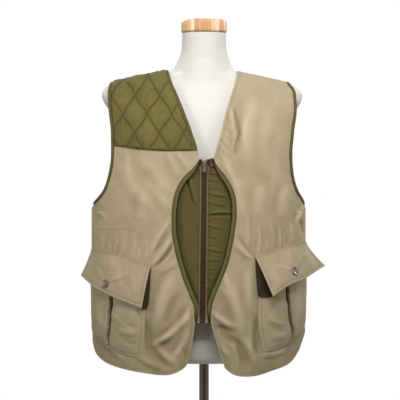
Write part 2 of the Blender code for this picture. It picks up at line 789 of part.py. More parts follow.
def build_shoulder_patch(sheet):
    """The quilted patch over the right shoulder and the strip along its V edge."""
    last = sheet[0].shape[1] - 1

    def patch_row(col, along, down):
        x = sample(sheet, row_at_height(sheet, col, 1.25), col)[0][0]
        end = row_at_height(sheet, col, read_table(PATCH_HEM, 1, x))
        spread = down ** 1.25
        return PATCH_TOP_ROW + (end - PATCH_TOP_ROW) * spread

    def patch_col(along, down):
        return last * (PATCH_FIRST_SHARE + (PATCH_LAST_SHARE - PATCH_FIRST_SHARE) * along)

    def strip_col(along, down):
        return last * (V_STRIP_MARGIN_SHARE + (PATCH_FIRST_SHARE - 2 * V_STRIP_MARGIN_SHARE) * along)

    downs = np.linspace(0.0, 1.0, PATCH_ROWS + 1)
    base = part_of_sheet(sheet, downs, np.linspace(0.0, 1.0, PATCH_COLUMNS + 1), patch_row, patch_col)
    lift = POPLIN / 2 + OVERLAY_GAP + PATCH_THICKNESS / 2
    # Diamonds between two families of slanting quilting lines
    across = (base[0][..., 0] - DIAMOND_CROSSING[0]) / DIAMOND_WIDTH
    height = (base[0][..., 2] - DIAMOND_CROSSING[1]) / DIAMOND_HEIGHT
    puff = np.abs(np.sin(math.pi * (across + height))) * np.abs(np.sin(math.pi * (across - height)))
    wall("shoulder_patch", lifted(base, lift), PATCH_THICKNESS, "olive_quilted", QUILT_RISE * puff)
    strip = part_of_sheet(sheet, downs, (0.0, 1.0), patch_row, strip_col)
    lift = POPLIN / 2 + OVERLAY_GAP + V_STRIP_THICKNESS / 2
    wall("v_neck_strip", lifted(strip, lift), V_STRIP_THICKNESS, "olive_binding")


# Inner fronts and zip

def zip_x(height):
    share = (ZIP_TOP - height) / (ZIP_TOP - ZIP_BOTTOM)
    return ZIP_TOP_X + (ZIP_BOTTOM_X - ZIP_TOP_X) * share


def pouch_depth(x, height):
    """How far the inner fronts lie behind the outer surface."""
    up = (height - INNER_BOTTOM) / (INNER_TOP - INNER_BOTTOM)
    open_up = max(0.0, math.sin(math.pi * min(1.0, max(0.0, up)))) ** 0.6
    across = min(1.0, abs(x) / INNER_REACH)
    return POUCH_EDGE_DEPTH + POUCH_DEPTH * open_up * (1.0 - across ** 3)


def inner_point(x, height):
    return (x, front_y(x, height) + pouch_depth(x, height), height)


def inner_sheet(heights, x_of):
    """Grid of an inner piece; x_of gives its places across at a height."""
    points = np.array([[inner_point(x, height) for x in x_of(height)] for height in heights])
    return points, sheet_normals(points, -1)


def inner_reach(height):
    """Half width of the inner fronts, narrowing to the V's point and the zip's foot."""
    up = (height - INNER_BOTTOM) / (INNER_TOP - INNER_BOTTOM)
    swell = math.sin(math.pi * min(1.0, max(0.0, up))) ** 0.5
    return INNER_END_REACH + (INNER_REACH - INNER_END_REACH) * swell


def build_inner_fronts():
    """The two olive inner fronts, with the left one's gathers along the zip."""
    for side, sign, rows in (("right", -1, 16), ("left", 1, 48)):
        def across(height):
            start = TAPE_HALF_WIDTH + SEAM_GAP
            end = inner_reach(height)
            return [zip_x(height) + sign * (start + (end - start) * k / 6) for k in range(7)]

        heights = np.linspace(INNER_TOP - 0.002, INNER_BOTTOM + 0.002, rows + 1)
        sheet = inner_sheet(heights, across)
        if side == "left":
            folds = []
            for height, reach, fall, half_width, top in ZIP_GATHERS:
                x = zip_x(height) + TAPE_HALF_WIDTH
                folds.append((x, height, x + reach, height - fall, half_width, top))
        else:
            folds = [(-0.0235, 1.184, -0.0130, 1.132, 0.0070, 0.0030)]
        rise = fold_rise(sheet[0], folds)
        wall("inner_front_" + side, lifted(sheet, rise), LINING_CLOTH, "olive_lining")


def build_zip():
    """The closed zip: two tapes, the chain, the stop at its foot and the slider."""
    heights = np.linspace(ZIP_TOP, ZIP_BOTTOM, 21)
    for side, sign in (("right", -1), ("left", 1)):
        def across(height):
            start = CHAIN_HALF_WIDTH + SEAM_GAP
            return [zip_x(height) + sign * start, zip_x(height) + sign * TAPE_HALF_WIDTH]

        wall("zip_tape_" + side, inner_sheet(heights, across), TAPE_THICKNESS, "brown_zip_tape")

    def chain_across(height):
        return [zip_x(height) + k * CHAIN_HALF_WIDTH for k in (-1, 1)]

    chain_top = SLIDER_TOP
    chain_foot = ZIP_BOTTOM + STOP_HEIGHT
    heights = np.linspace(chain_top, chain_foot, 21)
    wall("zip_chain", inner_sheet(heights, chain_across), CHAIN_THICKNESS, "zip_metal")
    heights = np.linspace(chain_foot - SEAM_GAP, ZIP_BOTTOM + 0.0005, 3)
    wall("zip_stop", inner_sheet(heights, chain_across), STOP_THICKNESS, "zip_metal")


def slider_face_y():
    """The plane that the slider's back lies in: just before the chain's most forward point."""
    heights = (SLIDER_TOP, SLIDER_TOP - SLIDER_LENGTH)
    fronts = [inner_point(zip_x(height) + side, height)[1] for height in heights for side in (-0.0055, 0.0055)]
    return min(fronts) - CHAIN_THICKNESS / 2 - SEAM_GAP


def build_slider_and_pull():
    """The slider with its bridge, and the pull tab that swings on the bridge."""
    x = zip_x(SLIDER_TOP)
    back = slider_face_y()
    face = back - SLIDER_THICKNESS
    pin_y = face - BRIDGE_INNER_HEIGHT / 2
    pin_z = SLIDER_TOP - SLIDER_LENGTH * 0.46
    # Slider plate: a shield that narrows to its foot
    half = SLIDER_WIDTH / 2
    low = SLIDER_TOP - SLIDER_LENGTH
    outline = (
        (x - half, back, SLIDER_TOP - 0.0030), (x - half * 0.62, back, SLIDER_TOP),
        (x + half * 0.62, back, SLIDER_TOP), (x + half, back, SLIDER_TOP - 0.0030),
        (x + half, back, low + 0.0055), (x + half * 0.68, back, low),
        (x - half * 0.68, back, low), (x - half, back, low + 0.0055),
    )
    plate = extrude_outline(outline, (0.0, -SLIDER_THICKNESS, 0.0))
    slider = add_object("zip_slider", plate, "zip_metal", smooth=False)
    # Bridge: an arch over the pin, its feet sunk into the plate
    reach = BRIDGE_INNER_LENGTH / 2
    outer = reach + BRIDGE_WALL
    crest = face - BRIDGE_INNER_HEIGHT - BRIDGE_WALL
    under = face - BRIDGE_INNER_HEIGHT
    foot = face + BRIDGE_FOOT
    left = x - BRIDGE_WIDTH / 2
    arch = (
        (left, foot, pin_z + outer), (left, under, pin_z + outer), (left, crest, pin_z + reach * 0.7),
        (left, crest, pin_z - reach * 0.7), (left, under, pin_z - outer), (left, foot, pin_z - outer),
        (left, foot, pin_z - reach), (left, under, pin_z - reach), (left, under, pin_z + reach),
        (left, foot, pin_z + reach),
    )
    bridge = add_object("zip_bridge", extrude_outline(arch, (BRIDGE_WIDTH, 0.0, 0.0)), "zip_metal", False)
    bridge.hide_render = True
    bridge.display_type = "WIRE"
    union = slider.modifiers.new("bridge", "BOOLEAN")
    union.operation = "UNION"
    union.solver = "EXACT"
    union.object = bridge
    # Pull tab: a plate with a window, hanging from its top bar. Its origin is the bar's axis.
    rail = PULL_WIDTH / 2
    top = PULL_PIN_HALF
    foot = top - PULL_LENGTH
    tab_outline = (
        (-rail, 0.0, top), (rail, 0.0, top), (rail * 0.86, 0.0, foot + 0.0050),
        (rail * 0.90, 0.0, foot + 0.0022), (rail * 0.62, 0.0, foot), (-rail * 0.62, 0.0, foot),
        (-rail * 0.90, 0.0, foot + 0.0022), (-rail * 0.86, 0.0, foot + 0.0050),
    )
    bm = extrude_outline(tab_outline, (0.0, -PULL_THICKNESS, 0.0))
    bmesh.ops.translate(bm, verts=bm.verts, vec=(0.0, PULL_THICKNESS / 2, 0.0))
    pull = add_object("zip_pull", bm, "zip_metal", smooth=False)
    window = bmesh.new()
    box_mesh(
        window,
        (-(rail - PULL_RAIL), -PULL_THICKNESS, -PULL_PIN_HALF - PULL_WINDOW_LENGTH),
        (rail - PULL_RAIL, PULL_THICKNESS, -PULL_PIN_HALF),
    )
    cutter = add_object("pull_window", window, "zip_metal", smooth=False)
    cutter.hide_render = True
    cutter.display_type = "WIRE"
    cutter.parent = pull
    cut = pull.modifiers.new("window", "BOOLEAN")
    cut.operation = "DIFFERENCE"
    cut.solver = "EXACT"
    cut.object = cutter
    pull.location = (x, pin_y, pin_z)


# Pockets

def pocket_shares(side):
    """Shares across a pocket, closer together at its pleat."""
    pleat = POCKETS[side][5]
    even = [share for share in np.linspace(0.0, 1.0, POCKET_COLUMNS) if abs(share - pleat) > 0.07]
    return sorted(even + [pleat + step for step in PLEAT_STEPS])


def pocket_sheet(side, sheet):
    """The pocket's place on its front: an inner edge, a pleat line and the side seam."""
    top_x, bottom_x, top, inner_bottom, side_bottom, _ = POCKETS[side]
    starts = (column_at_x(sheet, top_x, top), column_at_x(sheet, bottom_x, inner_bottom + 0.01))
    end = (sheet[0].shape[1] - 1) * POCKET_END_SHARE

    def pocket_col(along, down):
        start = starts[0] + (starts[1] - starts[0]) * down
        return start + (end - start) * along

    def pocket_row(col, along, down):
        bottom = inner_bottom + (side_bottom - inner_bottom) * along ** 1.5
        return row_at_height(sheet, col, top + (bottom - top) * down)

    downs = np.linspace(0.0, 1.0, POCKET_ROWS + 1)
    return part_of_sheet(sheet, downs, pocket_shares(side), pocket_row, pocket_col)


def build_pocket(side, sheet):
    """A patch pocket that stands off its front and opens at the top, with one pleat."""
    base = pocket_sheet(side, sheet)
    pleat = POCKETS[side][5]
    lift = np.zeros(base[0].shape[:2])
    width = np.linalg.norm(base[0][0, -1] - base[0][0, 0])
    for i in range(POCKET_ROWS + 1):
        down = i / POCKET_ROWS
        for j, along in enumerate(pocket_shares(side)):
            across = min(1.0, along / 0.16) ** 0.6 * min(1.0, (1.0 - along) / 0.50) ** 0.9
            mouth = 0.70 + 0.30 * min(1.0, down / 0.30)
            belly = across * mouth * math.cos(math.pi / 2 * down ** 2.6) ** 0.8
            crease = math.exp(-(((along - pleat) * width) / PLEAT_HALF_WIDTH) ** 2)
            lift[i, j] = (POCKET_STAND_OFF - PLEAT_DEPTH * crease) * belly
    seat = POPLIN / 2 + OVERLAY_GAP + POCKET_CLOTH / 2
    wall("pocket_" + side, lifted(base, seat + lift), POCKET_CLOTH, "tan_poplin")


def flap_sheet(side, sheet):
    """The flap from its sewn root on the front to its free edge over the pocket's mouth."""
    table = FLAPS[side]
    last = sheet[0].shape[1] - 1
    seat = POPLIN / 2 + OVERLAY_GAP + FLAP_CLOTH / 2
    points = np.zeros((FLAP_ROWS + 1, FLAP_COLUMNS + 1, 3))
    for j in range(FLAP_COLUMNS + 1):
        share = j / FLAP_COLUMNS
        root_height = read_table(table, 2, share)
        col = min(column_at_x(sheet, read_table(table, 1, share), root_height), last * FLAP_END_SHARE)
        place, normal = sample(sheet, row_at_height(sheet, col, root_height), col)
        root = place + normal * seat
        edge = np.array([read_table(table, k, share) for k in (3, 4, 5)])
        for i in range(FLAP_ROWS + 1):
            down = i / FLAP_ROWS
            # The outer end hugs the side before it flares out to its tip.
            out = down ** (1.0 + FLAP_FLARE * max(0.0, share - 0.6))
            belly = FLAP_BELLY * math.sin(math.pi * down) * (1.0 - share)
            points[i, j] = root + (edge - root) * (out, out, down) + normal * belly
    return points, sheet_normals(points, -1)


def build_flap_and_button(side, sheet):
    flap = flap_sheet(side, sheet)
    wall("pocket_flap_" + side, flap, FLAP_CLOTH, "tan_poplin")
    along, down = BUTTON_PLACES[side]
    place, normal = sample(flap, down * FLAP_ROWS, along * FLAP_COLUMNS)
    # A turned button with a raised rim round its dished middle
    rim = BUTTON_RADIUS
    thick = BUTTON_THICKNESS
    profile = (
        (0.0, 0.0), (rim * 0.72, 0.0), (rim, thick * 0.40), (rim * 0.96, thick * 0.86),
        (rim * 0.84, thick), (rim * 0.66, thick * 0.72), (0.0, thick * 0.66),
    )
    button = turned("pocket_button_" + side, profile, 16, "horn_button")
    direction = Vector(normal)
    seat = FLAP_CLOTH / 2 + OVERLAY_GAP
    button.rotation_mode = "QUATERNION"
    button.rotation_quaternion = direction.to_track_quat("Z", "Y")
    button.location = Vector(place) + direction * seat


# Dress form

def build_form():
    """The jersey torso: rings from its flat foot up to the neck, closed at both ends."""
    bm = bmesh.new()
    rings = []
    for height, right, left, front, back in FORM_RINGS:
        ring = []
        for k in range(FORM_SEGMENTS):
            angle = 2 * math.pi * k / FORM_SEGMENTS
            reach = left if math.cos(angle) > 0 else right
            depth = back if math.sin(angle) > 0 else front
            ring.append(bm.verts.new((reach * math.cos(angle), depth * math.sin(angle), height)))
        rings.append(ring)
    for here, there in zip(rings, rings[1:]):
        for k in range(FORM_SEGMENTS):
            n = (k + 1) % FORM_SEGMENTS
            bm.faces.new((here[k], here[n], there[n], there[k]))
    bm.faces.new(rings[0][::-1])
    bm.faces.new(rings[-1])
    add_object("form_torso", bm, "white_jersey")


def build_stand():
    """The wooden cap on the neck, the pole under the torso and the foot plate."""
    arc = [math.radians(a) for a in (0, 30, 60, 90)]
    upper = [
        (CAP_RADIUS - CAP_ROUNDING * (1 - math.cos(a)), CAP_TOP - CAP_ROUNDING * (1 - math.sin(a)))
        for a in arc
    ]
    lower = [(radius, CAP_BOTTOM + CAP_TOP - height) for radius, height in upper[::-1]]
    turned("neck_cap", [(0.0, CAP_BOTTOM)] + lower + upper + [(0.0, CAP_TOP)], TURNED_SEGMENTS, "oiled_wood")
    form_foot = FORM_RINGS[0][0]
    low = BASE_THICKNESS + SEAM_GAP
    high = form_foot - SEAM_GAP
    profile = ((0.0, low), (POLE_RADIUS, low), (POLE_RADIUS, high), (0.0, high))
    turned("pole", profile, 20, "polished_steel")
    edge = BASE_RADIUS - BASE_CHAMFER
    profile = (
        (0.0, 0.0), (BASE_RADIUS, 0.0), (BASE_RADIUS, BASE_THICKNESS - BASE_CHAMFER),
        (edge, BASE_THICKNESS), (0.0, BASE_THICKNESS),
    )
    turned("base_plate", profile, 40, "polished_steel")


def stand_on_origin():
    """Hangs everything on one empty and moves it, so that the origin is under the middle."""
    root = bpy.data.objects.new("vest_on_form", None)
    bpy.context.collection.objects.link(root)
    bpy.context.view_layer.update()
    corners = []
    for item in bpy.data.objects:
        if item.type == "MESH" and not item.hide_render:
            corners += [item.matrix_world @ vert.co for vert in item.data.vertices]
    low = [min(corner[k] for corner in corners) for k in range(3)]
    high = [max(corner[k] for corner in corners) for k in range(3)]
    for item in bpy.data.objects:
        if item is not root and item.parent is None:
            item.parent = root
    root.location = (-(low[0] + high[0]) / 2, -(low[1] + high[1]) / 2, -low[2])


for old in list(bpy.data.objects):
    bpy.data.objects.remove(old)

panel_sheets = build_panels()
for wearer_side in ("right", "left"):
    armhole_binding(wearer_side, panel_sheets)
    pouch_binding(wearer_side, panel_sheets)
    build_pocket(wearer_side, panel_sheets[wearer_side])
    build_flap_and_button(wearer_side, panel_sheets[wearer_side])
build_shoulder_patch(panel_sheets["right"])
build_inner_fronts()
build_zip()
build_slider_and_pull()
build_form()
build_stand()
stand_on_origin()
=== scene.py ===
import math

import bmesh
import bpy
import numpy as np
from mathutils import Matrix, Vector, noise
from mathutils.bvhtree import BVHTree
from mathutils.kdtree import KDTree


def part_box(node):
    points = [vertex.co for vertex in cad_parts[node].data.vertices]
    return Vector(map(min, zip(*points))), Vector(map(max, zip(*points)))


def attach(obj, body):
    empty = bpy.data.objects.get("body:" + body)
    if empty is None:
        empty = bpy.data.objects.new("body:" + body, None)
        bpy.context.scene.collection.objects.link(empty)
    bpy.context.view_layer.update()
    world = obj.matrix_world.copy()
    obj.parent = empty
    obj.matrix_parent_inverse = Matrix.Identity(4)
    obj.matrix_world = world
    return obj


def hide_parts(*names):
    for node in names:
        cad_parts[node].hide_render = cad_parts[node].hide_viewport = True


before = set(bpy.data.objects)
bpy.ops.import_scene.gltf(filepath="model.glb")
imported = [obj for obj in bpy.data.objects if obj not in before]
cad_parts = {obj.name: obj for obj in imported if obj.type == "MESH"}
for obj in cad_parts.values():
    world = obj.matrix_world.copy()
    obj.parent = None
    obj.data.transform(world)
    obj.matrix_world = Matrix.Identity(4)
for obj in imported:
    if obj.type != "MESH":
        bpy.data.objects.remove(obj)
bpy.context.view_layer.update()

# The room: a pale floor with white air round it, soft light from the front and above, and a
# long lens held level at chest height, straight in front of the vest.
camera_data = bpy.data.cameras.new("camera")
camera_data.sensor_width = 36.0
camera_data.lens = 195.65
camera_data.clip_end = 60.0
camera = bpy.data.objects.new("camera", camera_data)
camera.location = (-0.00665, -5.0, 1.138)
camera.rotation_euler = (math.pi / 2, 0.0, 0.0)
bpy.context.collection.objects.link(camera)
bpy.context.scene.camera = camera
bpy.context.scene.view_settings.view_transform = "Standard"

# The air lights the cloth faintly and warmly, and looks plain white behind it.
world = bpy.data.worlds.new("white_air")
world.use_nodes = True
bpy.context.scene.world = world
air_nodes = world.node_tree.nodes
air_links = world.node_tree.links
glow = air_nodes["Background"]
glow.inputs["Color"].default_value = (1.0, 0.93, 0.79, 1.0)
glow.inputs["Strength"].default_value = 0.12
backdrop = air_nodes.new("ShaderNodeBackground")
backdrop.inputs["Color"].default_value = (1.0, 1.0, 1.0, 1.0)
backdrop.inputs["Strength"].default_value = 1.0
ray_kind = air_nodes.new("ShaderNodeLightPath")
both_airs = air_nodes.new("ShaderNodeMixShader")
air_links.new(ray_kind.outputs["Is Camera Ray"], both_airs.inputs[0])
air_links.new(glow.outputs[0], both_airs.inputs[1])
air_links.new(backdrop.outputs[0], both_airs.inputs[2])
air_links.new(both_airs.outputs[0], air_nodes["World Output"].inputs[0])

# Columns: name, place, point it faces, width, height, power
for name, place, target, width, height, power in (
    ("key_softbox", (0.20, -1.65, 2.75), (0.0, -0.1, 1.48), 1.0, 0.6, 5.7),
    ("fill_softbox", (-2.3, -2.0, 2.1), (0.0, 0.0, 1.38), 1.5, 1.5, 5.8),
    ("right_softbox", (2.5, -1.5, 2.1), (0.0, 0.0, 1.38), 1.5, 1.5, 3.7),
    ("back_softbox", (-1.2, 2.3, 2.4), (0.0, 0.1, 1.05), 1.4, 1.2, 7.0),
    ("back_right_softbox", (1.9, 1.6, 2.2), (0.0, 0.1, 1.05), 1.4, 1.2, 4.5),
):
    light = bpy.data.lights.new(name, "AREA")
    light.shape = "RECTANGLE"
    light.size = width
    light.size_y = height
    light.energy = power
    light.spread = math.radians(60)
    lamp = bpy.data.objects.new(name, light)
    lamp.location = place
    lamp.rotation_euler = (Vector(target) - Vector(place)).to_track_quat("-Z", "Y").to_euler()
    bpy.context.collection.objects.link(lamp)


class Value:
    """A shader value: sums with other values and numbers become Math nodes."""

    def __init__(self, finish, socket):
        self.finish = finish
        self.socket = socket

    def also(self, out):
        """Another output of the same node."""
        return Value(self.finish, self.socket.node.outputs[out])

    def sum(self, operation, first, second):
        return self.finish.node("ShaderNodeMath", {"operation": operation}, {0: first, 1: second})

    def __add__(self, other):
        return self.sum("ADD", self, other)

    def __sub__(self, other):
        return self.sum("SUBTRACT", self, other)

    def __rsub__(self, other):
        return self.sum("SUBTRACT", other, self)

    def __mul__(self, other):
        return self.sum("MULTIPLY", self, other)

    def __truediv__(self, other):
        return self.sum("DIVIDE", self, other)

    def __rtruediv__(self, other):
        return self.sum("DIVIDE", other, self)

    def __pow__(self, other):
        return self.sum("POWER", self, other)

    __radd__ = __add__
    __rmul__ = __mul__


class Finish:
    """One material and its nodes."""

    def __init__(self, name):
        self.material = bpy.data.materials.new(name)
        self.material.use_nodes = True
        self.tree = self.material.node_tree
        self.shader = self.tree.nodes["Principled BSDF"]

    def node(self, kind, settings=None, values=None, out=0):
        """Any node: its settings first, then the values or links of its sockets."""
        made = self.tree.nodes.new(kind)
        for key, setting in (settings or {}).items():
            if key == "stops":
                for index, (place, shade) in enumerate(setting):
                    ramp = made.color_ramp.elements
                    stop = ramp[index] if index < 2 else ramp.new(place)
                    stop.position = place
                    stop.color = (*shade, 1.0)
            else:
                setattr(made, key, setting)
        for key, value in (values or {}).items():
            self.put(made.inputs[key], value)
        return Value(self, made.outputs[out])

    def put(self, socket, value):
        if isinstance(value, Value):
            self.tree.links.new(value.socket, socket)
        elif isinstance(value, tuple) and len(value) == 3 and socket.type == "RGBA":
            socket.default_value = (*value, 1.0)
        else:
            socket.default_value = value

    def mix(self, share, first, second):
        """One colour going over to another by a share."""
        return self.node("ShaderNodeMix", {"data_type": "RGBA"}, {0: share, 6: first, 7: second}, 2)

    def surface(self, **values):
        for key, value in values.items():
            self.put(self.shader.inputs[key.replace("_", " ")], value)
        return self.material


floor_finish = Finish("pale_floor")
grain = floor_finish.node("ShaderNodeTexNoise", None, {"Scale": 3.0, "Detail": 3.0})
floor_finish.surface(
    Base_Color=floor_finish.mix(grain, (0.90, 0.87, 0.79), (0.94, 0.91, 0.83)), Roughness=0.65,
)
FLOOR_RADIUS = 1.3
FLOOR_TOP = -0.0005
FLOOR_SIDES = 96
floor_mesh = bpy.data.meshes.new("floor")
turns = [2 * math.pi * k / FLOOR_SIDES for k in range(FLOOR_SIDES)]
rim = [(FLOOR_RADIUS * math.cos(turn), FLOOR_RADIUS * math.sin(turn), FLOOR_TOP) for turn in turns]
floor_mesh.from_pydata(rim, [], [tuple(range(FLOOR_SIDES))])
floor_mesh.materials.append(floor_finish.material)
floor = bpy.data.objects.new("floor", floor_mesh)
bpy.context.collection.objects.link(floor)

# The stand: a round foot plate and a pole of polished steel, turned and plated. The pole is
# screwed into the plate and runs up into the torso's flat foot.
BODY = "vest_and_form"
pole_low, pole_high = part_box("pole")
plate_low, plate_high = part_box("base_plate")
AXIS_X = (pole_low[0] + pole_high[0]) / 2


def finished(name, points, faces, finish, node=None, slot=None, sharp=40):
    """A mesh piece on the stand's axis, riding on the vest's body."""
    mesh = bpy.data.meshes.new(name)
    shifted = np.asarray(points, dtype=float) + (AXIS_X, 0.0, 0.0)
    mesh.from_pydata(shifted.tolist(), [], [tuple(int(k) for k in face) for face in faces])
    mesh.materials.append(finish)
    mesh.shade_smooth()
    mesh.set_sharp_from_angle(angle=math.radians(sharp))
    item = bpy.data.objects.new(name, mesh)
    bpy.context.collection.objects.link(item)
    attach(item, BODY)
    if node is not None:
        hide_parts(*([node] if isinstance(node, str) else node))
    return item


def turned(profile, segments):
    """Points and faces of a closed solid of revolution; the profile runs from axis to axis."""
    points = [(0.0, 0.0, profile[0][1])]
    for radius, height in profile[1:-1]:
        for k in range(segments):
            angle = 2 * math.pi * k / segments
            points.append((radius * math.cos(angle), radius * math.sin(angle), height))
    points.append((0.0, 0.0, profile[-1][1]))
    faces = []
    last = len(points) - 1
    rings = len(profile) - 2
    for k in range(segments):
        n = (k + 1) % segments
        faces.append((0, 1 + n, 1 + k))
        for ring in range(rings - 1):
            low = 1 + ring * segments
            faces.append((low + k, low + n, low + segments + n, low + segments + k))
        top = 1 + (rings - 1) * segments
        faces.append((top + k, top + n, last))
    return points, faces


def polished_steel(name, dark, bright, reflection_band_count):
    """Plated steel whose colour carries soft upright bands of painted reflection, paler and deeper round the
    tube.
    """
    steel = Finish(name)
    place = steel.node("ShaderNodeTexCoord", out=3)
    x = steel.node("ShaderNodeSeparateXYZ", None, {0: place})
    angle = steel.node("ShaderNodeMath", {"operation": "ARCTAN2"}, {0: x.also(1), 1: x - AXIS_X})
    round_place = steel.node("ShaderNodeCombineXYZ", None, {0: angle * reflection_band_count, 1: x.also(2) * 0.6})
    painted_reflection_band = steel.node("ShaderNodeTexNoise", None, {"Vector": round_place, "Scale": 1.0, "Detail": 2.0})
    scuff = steel.node("ShaderNodeTexNoise", None, {"Vector": place, "Scale": 90.0, "Detail": 4.0})
    # The noise round the axis paints dark and bright reflections into the colour.
    tone = steel.node("ShaderNodeMapRange", None, {0: painted_reflection_band, 1: 0.40, 2: 0.62, 3: 0.0, 4: 1.0})
    steel.surface(
        Base_Color=steel.mix(tone, dark, bright), Metallic=1.0,
        Roughness=0.10 + scuff * 0.14,
    )
    return steel.material


plate_radius = (plate_high[0] - plate_low[0]) / 2
plate_top = plate_high[2]
BOSS_RADIUS = 0.034
BOSS_HEIGHT = 0.0001
plate_profile = [(0.0, 0.0), (plate_radius - 0.001, 0.0), (plate_radius, 0.001)]
plate_profile += [(plate_radius, plate_top - 0.002), (plate_radius - 0.0006, plate_top - 0.0006)]
plate_profile += [(plate_radius - 0.002, plate_top), (BOSS_RADIUS, plate_top)]
plate_profile += [(BOSS_RADIUS - 0.001, plate_top + BOSS_HEIGHT), (0.0, plate_top + BOSS_HEIGHT)]
plate_steel = polished_steel("foot_plate_steel", (0.52, 0.52, 0.53), (0.70, 0.70, 0.71), 0.6)
finished("foot_plate", *turned(plate_profile, 96), plate_steel, "base_plate", "polished_steel")

pole_radius = (pole_high[0] - pole_low[0]) / 2
pole_profile = [(0.0, pole_low[2]), (pole_radius, pole_low[2])]
pole_profile += [(pole_radius, pole_high[2]), (0.0, pole_high[2])]
pole_steel = polished_steel("pole_steel", (0.10, 0.09, 0.08), (0.80, 0.76, 0.72), 2.2)
finished("pole_tube", *turned(pole_profile, 48), pole_steel, "pole", "polished_steel")

# The neck cap: staves of oiled softwood glued into a disc and turned with round edges. It
# closes the top of the torso's neck.
CAP_STAVES = 11.0
CAP_ROUNDING = 0.0055
cap_low, cap_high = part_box("neck_cap")
cap_radius = (cap_high[0] - cap_low[0]) / 2
arc = [math.radians(a) for a in range(0, 91, 10)]
cap_upper = [
    (cap_radius - CAP_ROUNDING * (1 - math.cos(a)), cap_high[2] - CAP_ROUNDING * (1 - math.sin(a)))
    for a in arc
]
cap_lower = [(radius, cap_low[2] + cap_high[2] - height) for radius, height in cap_upper[::-1]]
cap_profile = [(0.0, cap_low[2])] + cap_lower + cap_upper + [(0.0, cap_high[2])]

softwood = Finish("oiled_wood_staves")
place = softwood.node("ShaderNodeTexCoord", out=3)
x = softwood.node("ShaderNodeSeparateXYZ", None, {0: place})
stave_place = (x - AXIS_X) / (2 * cap_radius) * CAP_STAVES + 40.3
stave = softwood.node("ShaderNodeMath", {"operation": "FLOOR"}, {0: stave_place})
within = softwood.node("ShaderNodeMath", {"operation": "FRACT"}, {0: stave_place})
tone = softwood.node("ShaderNodeTexWhiteNoise", {"noise_dimensions": "1D"}, {"W": stave})
stretched = softwood.node("ShaderNodeMapping", None, {"Vector": place, "Scale": (330.0, 60.0, 22.0)})
fibre = softwood.node("ShaderNodeTexNoise", None, {"Vector": stretched, "Scale": 1.0, "Detail": 5.0})
joint = softwood.node("ShaderNodeMapRange", None, {0: within, 1: 0.0, 2: 0.05, 3: 1.0, 4: 0.0})
wood = softwood.node("ShaderNodeValToRGB", {"stops": (
    (0.10, (0.46, 0.20, 0.07)), (0.85, (0.88, 0.68, 0.48)), (0.45, (0.72, 0.44, 0.22)),
)}, {0: tone * 0.75 + fibre * 0.30 - 0.02})
wood = softwood.mix(joint * 0.75, wood, (0.30, 0.13, 0.04))
relief = fibre - joint
height = softwood.node("ShaderNodeBump", None, {"Strength": 0.25, "Distance": 0.0004, "Height": relief})
softwood.surface(Base_Color=wood, Roughness=0.36 + fibre * 0.2, Normal=height, Coat_Weight=0.15)
finished("wooden_neck_cap", *turned(cap_profile, 96), softwood.material, "neck_cap", "oiled_wood")

# The torso: a light shell with neither limbs nor head, under a tight sleeve of white cotton
# jersey. The jersey is gathered under the neck cap and turned in under the flat foot.
COLUMN_RADIUS = 0.0500
COLUMN_FLARE = 0.0160
COLUMN_TOP = 1.465
JOIN_WIDTH = 0.0120
JOIN_TOP = 1.462
JOIN_IN_FRONT = 2.6
SHOULDER_FOOT = 1.36
NECK_FOOT = 1.45
# Columns: height, reach towards -X, reach towards +X, front depth, back depth
TORSO_RINGS = (
    (0.7680, 0.1660, 0.1660, 0.096, 0.100),
    (0.7740, 0.1740, 0.1740, 0.103, 0.107),
    (0.8200, 0.1800, 0.1800, 0.108, 0.112),
    (0.8900, 0.1780, 0.1780, 0.109, 0.112),
    (0.9600, 0.1640, 0.1640, 0.105, 0.104),
    (1.0200, 0.1560, 0.1560, 0.104, 0.098),
    (1.0900, 0.1620, 0.1620, 0.110, 0.100),
    (1.1600, 0.1740, 0.1740, 0.117, 0.108),
    (1.2200, 0.1820, 0.1820, 0.118, 0.112),
    (1.2700, 0.1880, 0.1880, 0.113, 0.112),
    (1.3150, 0.2000, 0.1980, 0.103, 0.106),
    (1.3450, 0.2180, 0.2120, 0.092, 0.096),
    (1.3650, 0.2310, 0.2230, 0.080, 0.084),
    (1.3800, 0.2346, 0.2254, 0.068, 0.071),
    (1.3940, 0.2290, 0.2160, 0.055, 0.058),
    (1.4045, 0.2130, 0.1925, 0.046, 0.045),
    (1.4110, 0.1810, 0.1640, 0.042, 0.040),
    (1.4180, 0.1440, 0.1300, 0.0405, 0.038),
    (1.4250, 0.1080, 0.0970, 0.0425, 0.040),
    (1.4310, 0.0815, 0.0755, 0.0445, 0.043),
    (1.4420, 0.0690, 0.0655, 0.048, 0.046),
    (1.4600, 0.0590, 0.0580, 0.050, 0.049),
    (1.4840, 0.0515, 0.0515, 0.0505, 0.050),
    (1.5212, 0.0500, 0.0500, 0.050, 0.050),
)


def read(table, index, at):
    """A column of a table at places given by its first column, on a smooth curve."""
    rows = np.array(sorted(table))
    keys = rows[:, 0]
    values = rows[:, index]
    steps = np.diff(keys)
    rates = np.diff(values) / steps
    slopes = np.concatenate(([rates[0]], np.zeros(len(keys) - 2), [rates[-1]]))
    for k in range(1, len(keys) - 1):
        if rates[k - 1] * rates[k] > 0:
            share = (steps[k] + 2 * steps[k - 1]) / (3 * (steps[k - 1] + steps[k]))
            slopes[k] = rates[k - 1] * rates[k] / (share * rates[k] + (1 - share) * rates[k - 1])
    at = np.clip(np.asarray(at, dtype=float), keys[0], keys[-1])
    k = np.clip(np.searchsorted(keys, at) - 1, 0, len(keys) - 2)
    t = (at - keys[k]) / steps[k]
    rise = values[k + 1] - values[k]
    bend = (1 - t) * (slopes[k] * steps[k] - rise) - t * (slopes[k + 1] * steps[k] - rise)
    return values[k] + rise * t + t * (1 - t) * bend


